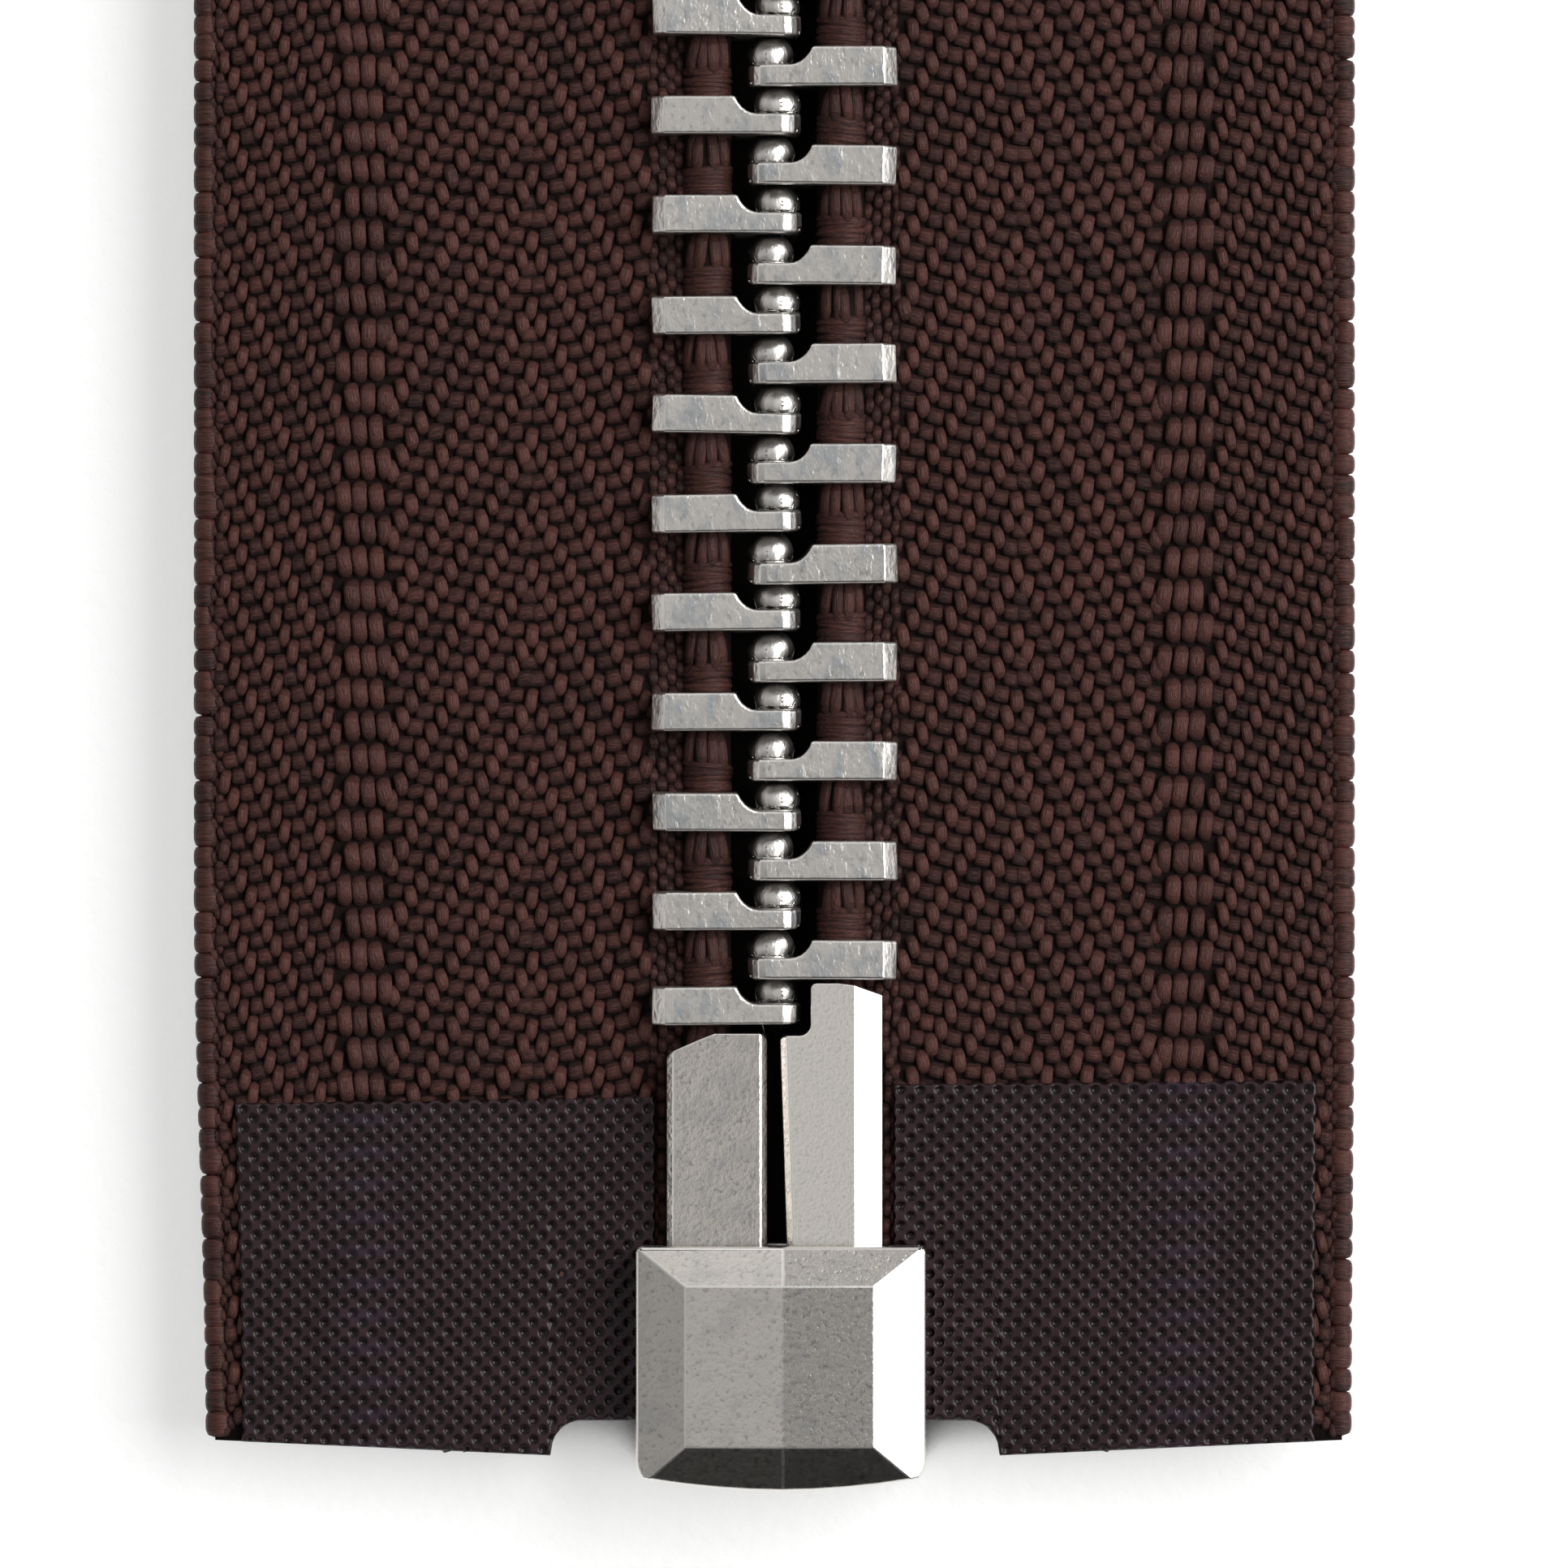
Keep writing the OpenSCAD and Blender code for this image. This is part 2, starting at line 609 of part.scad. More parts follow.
retainer_box();
box_pin();
insertion_pin();
placed() tape_foot(left_split_y);  // left_tape_foot
placed() mirrored(true) tape_foot(right_split_y);  // right_tape_foot
placed() film(1);  // left_front_film
placed() film(-1);  // left_back_film
placed() mirrored(true) film(1);  // right_front_film
placed() mirrored(true) film(-1);  // right_back_film
placed() tape(left_split_y);  // left_tape
placed() mirrored(true) tape(right_split_y);  // right_tape
placed() cord(left_split_y);  // left_cord
placed() mirrored(true) cord(right_split_y);  // right_cord
placed() teeth(first_tooth_y);  // left_teeth
placed() mirrored(true) teeth(right_first_y);  // right_teeth
placed() top_stop();  // left_top_stop
placed() mirrored(true) top_stop();  // right_top_stop
slider_body();
slider_cover();
lock_spring();
pull_tab();
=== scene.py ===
"""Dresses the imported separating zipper: woven tapes, metal teeth, pins, retainer box, slider and pull tab.

Sizes are millimetres in the drawing frame: X runs from the chain's centre line, Y up from the lower
end of the retainer box, and Z from the middle of the tapes' thickness. "Out" is the distance from the
centre line, alike on both halves.
"""

from __future__ import annotations

import json
import logging
import math
from dataclasses import dataclass, field
from enum import Enum
from typing import Any, Callable, Sequence, Union

import bmesh
import bpy
import numpy as np
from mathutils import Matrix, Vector
from mathutils.bvhtree import BVHTree

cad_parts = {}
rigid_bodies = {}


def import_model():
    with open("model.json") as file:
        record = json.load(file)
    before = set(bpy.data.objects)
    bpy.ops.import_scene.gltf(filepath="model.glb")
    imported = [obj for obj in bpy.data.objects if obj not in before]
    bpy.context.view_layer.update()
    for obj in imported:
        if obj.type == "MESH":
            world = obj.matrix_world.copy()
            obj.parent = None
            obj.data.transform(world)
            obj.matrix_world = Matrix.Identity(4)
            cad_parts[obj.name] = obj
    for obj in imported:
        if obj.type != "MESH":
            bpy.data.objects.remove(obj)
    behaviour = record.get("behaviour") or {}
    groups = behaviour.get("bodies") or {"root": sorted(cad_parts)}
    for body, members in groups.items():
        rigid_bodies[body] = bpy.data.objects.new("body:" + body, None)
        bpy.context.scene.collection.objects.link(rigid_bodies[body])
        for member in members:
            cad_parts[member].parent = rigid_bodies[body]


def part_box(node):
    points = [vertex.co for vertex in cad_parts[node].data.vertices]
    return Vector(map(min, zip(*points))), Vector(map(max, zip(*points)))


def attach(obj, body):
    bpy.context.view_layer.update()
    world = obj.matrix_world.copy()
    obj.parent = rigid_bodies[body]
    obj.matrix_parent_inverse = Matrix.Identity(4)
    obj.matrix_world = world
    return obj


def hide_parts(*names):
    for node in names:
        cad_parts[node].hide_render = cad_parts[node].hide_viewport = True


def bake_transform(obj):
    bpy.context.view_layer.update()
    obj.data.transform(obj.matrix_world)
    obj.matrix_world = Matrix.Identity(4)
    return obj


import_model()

MM = 0.001
LOG = logging.getLogger("zipper")
Colour = tuple[float, float, float]
Operand = Union["Wire", float, Sequence[float]]


class Side(Enum):
    """A half of the zipper, by the sign of its X."""

    LEFT = -1
    RIGHT = 1

    @property
    def word(self) -> str:
        """The name that the half's pieces start with."""
        return self.name.lower()

    @property
    def body(self) -> str:
        """The body that the half's tape and teeth ride on."""
        return f"{self.word}_stringer"


class Face(Enum):
    """A face of the tape, by the sign of its Z."""

    FRONT = 1
    BACK = -1

    @property
    def word(self) -> str:
        """The face's name in the names of pieces."""
        return self.name.lower()


# ---- Frame, camera and image points ----


@dataclass(frozen=True)
class Drawing:
    """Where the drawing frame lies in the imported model."""

    base_y: float
    mid_z: float

    @classmethod
    def from_frame(cls) -> "Drawing":
        """Reads the frame from the retainer box, whose lower end is Y 0 and whose middle is Z 0."""
        low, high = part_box("retainer_box")
        return cls(low.y / MM, (low.z + high.z) / 2 / MM)

    def to_row(self, points: np.ndarray) -> np.ndarray:
        """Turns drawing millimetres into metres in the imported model's frame.

        Args:
            points: an array whose last axis is X, Y and Z.

        Returns:
            An array of the same shape.
        """
        return (np.asarray(points, float) + (0, self.base_y, self.mid_z)) * MM

    def from_row(self, points: np.ndarray) -> np.ndarray:
        """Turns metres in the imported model's frame into drawing millimetres."""
        return np.asarray(points, float) / MM - (0, self.base_y, self.mid_z)


DRAWING = Drawing.from_frame()


@dataclass(frozen=True)
class PhotoCamera:
    """The camera over the lower end, which looks straight down."""

    aim_x: float = 0.245
    aim_y: float = 17.75
    plane_z: float = 1.15
    view_w: float = 39.41
    lens: float = 240.0
    sensor: float = 36.0
    frame_px: float = 1568.0

    def build(self) -> bpy.types.Object:
        """Makes the camera and gives it to the scene.

        Returns:
            The camera.
        """
        data = bpy.data.cameras.new("photo_camera")
        data.lens, data.sensor_width, data.sensor_fit = self.lens, self.sensor, "AUTO"
        data.clip_start = 5 * MM
        camera = bpy.data.objects.new("photo_camera", data)
        distance = self.view_w * self.lens / self.sensor
        camera.location = DRAWING.to_row((self.aim_x, self.aim_y, self.plane_z + distance))
        bpy.context.collection.objects.link(camera)
        bpy.context.scene.camera = camera
        bpy.context.view_layer.update()
        return camera


class Sight:
    """Goes between the photograph's frame and the model, through the camera.

    An edge is read at the vertices within edge_px of its outermost one that shows. tries is how many
    vertices are looked at, and slack how near one may lie behind a surface and still show.
    """

    edge_px = 2.0
    tries = 400
    slack = 0.02 * MM

    def __init__(self, camera: bpy.types.Object, frame_px: float) -> None:
        """Keeps the camera's numbers.

        Args:
            camera: the camera object.
            frame_px: the frame's side in the image points' pixels.
        """
        self.camera, self.px = camera, frame_px
        data = camera.data
        self.focal = frame_px * data.lens / data.sensor_width
        self.centre = (frame_px / 2 - data.shift_x * frame_px, frame_px / 2 + data.shift_y * frame_px)

    def meet(self, point: Sequence[float], carriers: Sequence[bpy.types.Object]) -> np.ndarray:
        """Finds where an image point lies on what carries a detail.

        Args:
            point: x and y in the photograph's frame.
            carriers: the finished pieces that the detail lies on.

        Returns:
            The place in drawing millimetres; a miss takes the place nearest the ray.
        """
        graph = bpy.context.evaluated_depsgraph_get()
        along = Vector((point[0] - self.centre[0], self.centre[1] - point[1], -self.focal))
        turn = self.camera.matrix_world
        origin, along = turn.translation, (turn.to_3x3() @ along).normalized()
        best, best_gap = origin, math.inf
        for piece in carriers:
            tree = BVHTree.FromObject(piece, graph)
            hit = tree.ray_cast(origin, along)[0]
            if hit is not None:
                # Any hit counts as nearer than a miss.
                gap = (hit - origin).length * 1e-6
                found = hit
            else:
                far = origin + along * (origin.z / max(-along.z, 1e-6))
                found = tree.find_nearest(far)[0]
                gap = (found - origin).cross(along).length
            if gap < best_gap:
                best, best_gap = found, gap
        return DRAWING.from_row(best)

    def show(self, points: np.ndarray) -> np.ndarray:
        """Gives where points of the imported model's frame show.

        Args:
            points: an array of N by 3 in metres.

        Returns:
            An array of N by 2 in the photograph's frame.
        """
        world = np.array(self.camera.matrix_world.inverted())
        seen = points @ world[:3, :3].T + world[:3, 3]
        scale = self.focal / -seen[:, 2]
        return np.stack([self.centre[0] + seen[:, 0] * scale, self.centre[1] - seen[:, 1] * scale], 1)

    def first_seen(self, trees: list[BVHTree], rows: np.ndarray, way: np.ndarray) -> np.ndarray | None:
        """Finds the outermost vertex that nothing hides, or the middle of an edge that it lies on.

        Args:
            trees: what may hide it.
            rows: the vertices in metres.
            way: the direction in the picture.

        Returns:
            Where it shows, or None if all that were tried are hidden.
        """
        shown = self.show(rows)
        origin = self.camera.matrix_world.translation
        for index in np.argsort(-(shown @ way))[:self.tries]:
            along = Vector(rows[index]) - origin
            reach = along.length - self.slack
            if all(tree.ray_cast(origin, along.normalized(), reach)[0] is None for tree in trees):
                level = shown[shown @ way > shown[index] @ way - self.edge_px]
                return (level.min(0) + level.max(0)) / 2
        return None


class Reading(Enum):
    """Which spot of a feature its image point is, as a direction in the picture."""

    LEFT = (-1, 0)
    RIGHT = (1, 0)
    TOP = (0, -1)
    BOTTOM = (0, 1)
    TOP_LEFT = (-1, -1)
    TOP_RIGHT = (1, -1)
    MIDDLE = (0, 0)


@dataclass(frozen=True)
class ImagePoint:
    """A named spot in the photograph and what shows it.

    x or y is None where only the other is read. area is the part of the drawing that is read.
    """

    name: str
    x: float | None
    y: float | None
    reading: Reading
    pieces: tuple[str, ...]
    area: tuple[float, float, float, float] = (-20.0, -5.0, 20.0, 40.0)


POINTS = (
    ImagePoint("object_left_x", 194.5, None, Reading.LEFT, ("left_selvedge",), (-20, 14, 0, 36)),
    ImagePoint("object_right_x", 1354.0, None, Reading.RIGHT, ("right_selvedge",), (0, 14, 20, 36)),
    ImagePoint("object_bottom_y", None, 1489.5, Reading.BOTTOM, ("box_casting",)),
    ImagePoint("box_top_left", 640.0, 1244.2, Reading.TOP_LEFT, ("box_casting",)),
    ImagePoint("box_top_right", 921.5, 1244.4, Reading.TOP_RIGHT, ("box_casting",)),
    ImagePoint("box_pin_left_x", 666.5, None, Reading.LEFT, ("box_pin_wire",)),
    ImagePoint("box_pin_top_y", None, 1033.5, Reading.TOP, ("box_pin_wire",)),
    ImagePoint("insertion_pin_right_x", 884.0, None, Reading.RIGHT, ("insertion_pin_wire",)),
    ImagePoint("insertion_pin_top_y", None, 982.8, Reading.TOP, ("insertion_pin_wire",)),
    ImagePoint("left_tooth_low", 651.8, 1005.0, Reading.LEFT, ("left_tooth_row",), (-4, 11, 1, 13.2)),
    ImagePoint("left_tooth_mid", 651.8, 513.0, Reading.LEFT, ("left_tooth_row",), (-4, 23.4, 1, 25.8)),
    ImagePoint("right_tooth_low", 896.8, 960.0, Reading.RIGHT, ("right_tooth_row",), (-1, 12.2, 4, 14.4)),
    ImagePoint("right_tooth_high", 896.8, 64.9, Reading.RIGHT, ("right_tooth_row",), (-1, 34.8, 4, 36.9)),
    ImagePoint("left_film_corner", 235.0, 1103.0, Reading.TOP_LEFT, ("left_front_film_skin",)),
    ImagePoint("left_film_pin_side", 655.0, 1096.0, Reading.TOP_RIGHT, ("left_front_film_skin",)),
    ImagePoint("right_film_corner", 1315.6, 1079.4, Reading.TOP_RIGHT, ("right_front_film_skin",)),
    ImagePoint("right_film_pin_side", 894.0, 1084.0, Reading.TOP_LEFT, ("right_front_film_skin",)),
    ImagePoint("left_rib_x", 364.0, None, Reading.MIDDLE, ("left_rib_front",), (-20, 14, 0, 37)),
    ImagePoint("right_rib_x", 1184.5, None, Reading.MIDDLE, ("right_rib_front",), (0, 14, 20, 37)),
)


def image_point(name: str) -> ImagePoint:
    """The image point with this name."""
    return next(point for point in POINTS if point.name == name)


def write_points(sight: Sight) -> None:
    """Finds where each image point's feature shows, and keeps nothing of it.

    Args:
        sight: the way from the model to the picture.
    """
    graph = bpy.context.evaluated_depsgraph_get()
    for point in POINTS:
        pieces = [piece for piece in bpy.data.objects if piece.name.startswith(point.pieces)]
        corners = []
        for piece in pieces:
            mesh = piece.evaluated_get(graph).to_mesh()
            flat = np.empty(3 * len(mesh.vertices))
            mesh.vertices.foreach_get("co", flat)
            corners.append(flat.reshape(-1, 3))
        rows = np.concatenate(corners) if corners else np.empty((0, 3))
        drawn = DRAWING.from_row(rows)
        x0, y0, x1, y1 = point.area
        rows = rows[(drawn[:, 0] > x0) & (drawn[:, 0] < x1) & (drawn[:, 1] > y0) & (drawn[:, 1] < y1)]
        trees = [BVHTree.FromObject(piece, graph) for piece in pieces]
        way = np.array(point.reading.value, float)
        ways = [way] if way.any() else [np.array([-1.0, 0.0]), np.array([1.0, 0.0])]
        spots = [sight.first_seen(trees, rows, one) for one in ways]
        if any(spot is None for spot in spots):
            continue


# ---- Shader expressions ----


def linear(red: float, green: float, blue: float) -> Colour:
    """A colour as it reads on screen, from 0 to 255, in the renderer's linear values."""
    share = np.array([red, green, blue]) / 255
    return tuple(np.where(share <= 0.04045, share / 12.92, ((share + 0.055) / 1.055) ** 2.4).tolist())


class Wire:
    """An output socket that shader expressions are written with; its operators add nodes."""

    def __init__(self, graph: "Graph", socket: bpy.types.NodeSocket | None) -> None:
        """Wraps a socket.

        Args:
            graph: the node tree's wrapper.
            socket: the output socket, or None for a node without one.
        """
        self.graph, self.socket = graph, socket

    def _join(self, operation: str, left: Operand, right: Operand) -> "Wire":
        """Adds the node that combines two operands: Mix for colours, Vector Math or Math for the rest.

        Args:
            operation: ADD, SUBTRACT or MULTIPLY.
            left: the first operand.
            right: the second operand.

        Returns:
            The result.
        """
        kinds = {self.graph.kind(left), self.graph.kind(right)}
        if "RGBA" in kinds:
            settings = {"data_type": "RGBA", "blend_type": operation}
            ends = {"Factor": 1.0, "A": left, "B": right}
            return self.graph.node("ShaderNodeMix", settings, ends, "Result")
        kind = "ShaderNodeVectorMath" if "VECTOR" in kinds else "ShaderNodeMath"
        return self.graph.node(kind, {"operation": operation}, {0: left, 1: right})

    def __add__(self, other: Operand) -> "Wire":
        """The sum."""
        return self._join("ADD", self, other)

    def __radd__(self, other: Operand) -> "Wire":
        """The sum, reflected."""
        return self._join("ADD", other, self)

    def __sub__(self, other: Operand) -> "Wire":
        """The difference."""
        return self._join("SUBTRACT", self, other)

    def __rsub__(self, other: Operand) -> "Wire":
        """The difference, reflected."""
        return self._join("SUBTRACT", other, self)

    def __mul__(self, other: Operand) -> "Wire":
        """The product."""
        return self._join("MULTIPLY", self, other)

    def __rmul__(self, other: Operand) -> "Wire":
        """The product, reflected."""
        return self._join("MULTIPLY", other, self)

    def part(self, axis: int) -> "Wire":
        """One component of a vector."""
        return self.graph.node("ShaderNodeSeparateXYZ", inputs={0: self}, output=axis)

    def apply(self, operation: str, other: Operand = 0.0) -> "Wire":
        """Another Math operation on this value, such as ROUND or MAXIMUM."""
        return self.graph.node("ShaderNodeMath", {"operation": operation}, {0: self, 1: other})

    def between(self, low: float, high: float, first: float = 0.0, last: float = 1.0) -> "Wire":
        """Maps low to high onto first to last, smoothly, and holds the ends.

        Args:
            low: the value that gives first.
            high: the value that gives last.
            first: the result at low.
            last: the result at high.

        Returns:
            The mapped value.
        """
        ends = {"Value": self, "From Min": low, "From Max": high, "To Min": first, "To Max": last}
        return self.graph.node("ShaderNodeMapRange", {"interpolation_type": "SMOOTHSTEP"}, ends, "Result")

    def blend(self, first: Operand, second: Operand) -> "Wire":
        """The colour first where this value is 0 and second where it is 1."""
        ends = {"Factor": self, "A": first, "B": second}
        return self.graph.node("ShaderNodeMix", {"data_type": "RGBA"}, ends, "Result")


class Graph:
    """One node tree, with the method that adds any node."""

    def __init__(self, tree: bpy.types.NodeTree) -> None:
        """Empties the tree and keeps it."""
        self.tree = tree
        tree.nodes.clear()

    @staticmethod
    def kind(operand: Operand) -> str:
        """Tells what an operand holds.

        Args:
            operand: a wrapped socket, a number or a sequence.

        Returns:
            VALUE, VECTOR or RGBA.
        """
        if isinstance(operand, Wire):
            return operand.socket.type
        if isinstance(operand, (int, float)):
            return "VALUE"
        return "RGBA" if len(operand) == 4 else "VECTOR"

    @staticmethod
    def _socket(sockets: Any, key: str | int) -> bpy.types.NodeSocket:
        """The socket in use with this name, or at this place."""
        if isinstance(key, int):
            return sockets[key]
        return next(s for s in sockets if s.enabled and key in (s.name, s.identifier))

    def node(
        self,
        kind: str,
        settings: dict[str, Any] | None = None,
        inputs: dict[str | int, Operand] | None = None,
        output: str | int = 0,
    ) -> Wire:
        """Adds a node.

        Args:
            kind: the node's type.
            settings: what is set before its sockets, such as operation, or stops for a ramp.
            inputs: values or links, by socket name or place.
            output: the socket that is returned.

        Returns:
            The chosen output.
        """
        made = self.tree.nodes.new(kind)
        for key, value in (settings or {}).items():
            if key == "stops":
                ramp = made.color_ramp
                while len(ramp.elements) < len(value):
                    ramp.elements.new(0.5)
                for element, (place, colour) in zip(ramp.elements, value):
                    element.position, element.color = place, (*colour, 1.0)[:4]
            else:
                setattr(made, key, value)
        for key, value in (inputs or {}).items():
            socket = self._socket(made.inputs, key)
            if isinstance(value, Wire):
                self.tree.links.new(value.socket, socket)
            elif socket.type == "RGBA" and isinstance(value, (int, float)):
                socket.default_value = (value, value, value, 1.0)
            elif socket.type == "RGBA":
                socket.default_value = (*value, 1.0)[:4]
            elif socket.type == "VECTOR" and isinstance(value, (int, float)):
                socket.default_value = (value, value, value)
            else:
                socket.default_value = value
        return Wire(self, self._socket(made.outputs, output) if made.outputs else None)

    def place(self) -> Wire:
        """The surface's own coordinates in millimetres."""
        scale = 1 / MM
        return self.node("ShaderNodeTexCoord", output="Object") * (scale, scale, scale)

    def field(self, name: str) -> Wire:
        """A vector that the mesh holds at its vertices."""
        return self.node("ShaderNodeAttribute", {"attribute_name": name}, output="Vector")

    def noise(self, vector: Wire, scale: float, detail: float = 2.0, rough: float = 0.5) -> Wire:
        """Noise from 0 to 1.

        Args:
            vector: the coordinates.
            scale: features to a unit.
            detail: octaves.
            rough: the weight of each finer octave.

        Returns:
            The noise.
        """
        ends = {"Vector": vector, "Scale": scale, "Detail": detail, "Roughness": rough}
        return self.node("ShaderNodeTexNoise", inputs=ends, output="Fac")

    def bump(self, height: Wire, depth: float) -> Wire:
        """A normal from a height.

        Args:
            height: the height, from 0 to 1.
            depth: what 1 stands for, in millimetres.

        Returns:
            The normal.
        """
        ends = {"Strength": 1.0, "Distance": depth * MM, "Height": height}
        return self.node("ShaderNodeBump", inputs=ends, output="Normal")

    def surface(self, **sockets: Operand) -> Wire:
        """Adds a Principled shader and the output.

        Args:
            sockets: its sockets, with _ for a space.

        Returns:
            The shader.
        """
        ends = {name.replace("_", " "): value for name, value in sockets.items()}
        shader = self.node("ShaderNodeBsdfPrincipled", inputs=ends)
        self.node("ShaderNodeOutputMaterial", inputs={"Surface": shader})
        return shader


# ---- Finishes ----


class Finish:
    """What a piece's surface is made of. Each finish makes its material once."""

    name: str
    slot: str
    made: dict[str, bpy.types.Material] = {}

    def paint(self, graph: Graph) -> None:
        """Adds the finish's nodes."""
        raise NotImplementedError

    def material(self) -> bpy.types.Material:
        """Gives the finish's material, and makes it the first time.

        Returns:
            The material.
        """
        if self.name not in Finish.made:
            material = bpy.data.materials.new(self.name)
            material.use_nodes = True
            self.paint(Graph(material.node_tree))
            Finish.made[self.name] = material
        return Finish.made[self.name]


@dataclass(frozen=True)
class Yarn(Finish):
    """Multifilament polyester yarn; thread holds the place across and along it and a tone, random, with
    painted shade toward the ends and sides of floats.
    """

    name: str
    slot: str
    shade: Colour
    light: Colour
    roughness: float = 0.5
    fibres: float = 24.0

    def paint(self, graph: Graph) -> None:
        """Streaks along the yarn, a tone for each float that carries painted shade at its ends and sides, and
        tiny painted highlights.

        Args:
            graph: the material's node tree.
        """
        thread = graph.field("thread")
        # tone holds each float's random tone and its painted shade at the ends and sides.
        tone = thread.part(2)
        streaks = graph.noise(thread * (self.fibres, 2.4, 31.0), 1.0, 3.0, 0.6)
        glint_noise = graph.noise(thread * (60.0, 14.0, 57.0), 1.0, 1.0)
        mottle = graph.noise(graph.place(), 0.55, 2.0)
        level = streaks.between(0.40, 0.60) * 0.54 + tone * 0.58 + mottle.between(0.35, 0.7) * 0.12
        colour = level.blend(self.shade, self.light)
        # Painted highlight: tiny specks lightened toward white stand in for the yarn's glints.
        glint = glint_noise.between(0.68, 0.76)
        colour = (glint * 0.5).blend(colour, tuple(min(1.0, 3.0 * c) for c in self.light))
        graph.surface(
            Base_Color=colour,
            Roughness=self.roughness - glint * 0.2,
            Specular_IOR_Level=0.22,
            Normal=graph.bump(streaks, 0.05),
        )


@dataclass(frozen=True)
class Cloth(Finish):
    """The ground between the floats, painted nearly black for the shade in the gaps."""

    name: str
    slot: str
    shade: Colour

    def paint(self, graph: Graph) -> None:
        """Painted shade: nearly black gaps with a fine thread grain.

        Args:
            graph: the material's node tree.
        """
        place = graph.place()
        grain = graph.noise(place * (1.0, 0.35, 1.0), 14.0, 3.0)
        graph.surface(
            Base_Color=grain.between(0.3, 0.75).blend(tuple(0.45 * c for c in self.shade), self.shade),
            Roughness=0.85,
            Specular_IOR_Level=0.15,
            Normal=graph.bump(grain, 0.03),
        )


@dataclass(frozen=True)
class Film(Finish):
    """Heat-bonded film: hazy where it bridges the yarn, clear and dark in its pressed dots."""

    name: str
    slot: str
    haze: Colour
    clear: Colour
    dent: float = 0.035

    def paint(self, graph: Graph) -> None:
        """Dots pressed on the mesh's own lattice, with patches where the film has lifted.

        Args:
            graph: the material's node tree.
        """
        press = graph.field("press")
        lattice = [press.part(0), press.part(1)]
        off = [part - part.apply("ROUND") for part in lattice]
        far = (off[0] * off[0] + off[1] * off[1]).apply("SQRT")
        place = graph.place()
        cloud = graph.noise(place, 0.9, 3.0).between(0.35, 0.72)
        grain = graph.noise(place, 14.0, 3.0, 0.6)
        ragged = far + 0.16 * (graph.noise(place, 5.0, 2.0) - 0.5)
        dot = ragged.between(0.06, 0.42, 1.0, 0.0)
        bridged = ragged.between(0.30, 0.52) * (0.55 + 0.45 * cloud)
        colour = bridged.blend(self.clear, self.haze)
        blue = tuple(c * f for c, f in zip(self.haze, (0.95, 1.08, 1.5)))
        colour = (press.part(2) * 0.5).blend(colour, blue)
        graph.surface(
            Base_Color=colour,
            Roughness=0.20 + 0.16 * grain,
            Specular_IOR_Level=0.22,
            Normal=graph.bump(1.0 - dot + 0.10 * grain, self.dent),
        )


@dataclass(frozen=True)
class Nickel(Finish):
    """Nickel plate over a casting or wire; worn is 1 on the edges, which wear has brightened and which carry
    a painted highlight.
    """

    name: str
    slot: str
    colour: Colour
    roughness: float = 0.14
    grain: float = 7.0
    depth: float = 0.008
    pits: float = 0.4
    smudge: float = 0.3
    draw: tuple[float, float, float] = (1.0, 1.0, 1.0)
    swell: float = 0.0

    def paint(self, graph: Graph) -> None:
        """Leathery creases, cool smudges, painted shade in the deep places, and bright edges that are partly
        wear and partly painted highlight.

        Args:
            graph: the material's node tree.
        """
        place = graph.place()
        worn = graph.node("ShaderNodeAttribute", {"attribute_name": "worn"}, output="Fac")
        calm = 1.0 - 0.8 * worn
        fine = graph.noise(place * self.draw, self.grain, 3.0, 0.55)
        broad = graph.noise(place * self.draw, 1.3, 4.0, 0.62)
        open_air = graph.node("ShaderNodeAmbientOcclusion", {"samples": 4}, {"Distance": 1.1 * MM}, "AO")
        dull = tuple(0.5 * c for c in self.colour)
        cool = tuple(0.66 * c * f for c, f in zip(self.colour, (0.86, 0.97, 1.12)))
        colour = (fine.between(0.44, 0.30) * calm * self.pits).blend(self.colour, dull)
        colour = (broad.between(0.47, 0.63) * calm * self.smudge).blend(colour, cool)
        # Partly wear and partly painted highlight: marked edges and nubs are lightened.
        colour = (worn * 0.7).blend(colour, (0.88, 0.86, 0.83))
        # Painted shade: the colour goes nearly black where little open air reaches, in crevices and gaps
        # between parts.
        crevice_shade = open_air.between(0.12, 0.48, 0.92, 0.0)
        graph.surface(
            Base_Color=crevice_shade.blend(colour, (0.035, 0.024, 0.020)),
            Metallic=1.0,
            Roughness=self.roughness + 0.10 * fine + 0.08 * broad + 0.05 * worn,
            Normal=graph.bump(fine * calm + broad * self.swell, self.depth),
        )


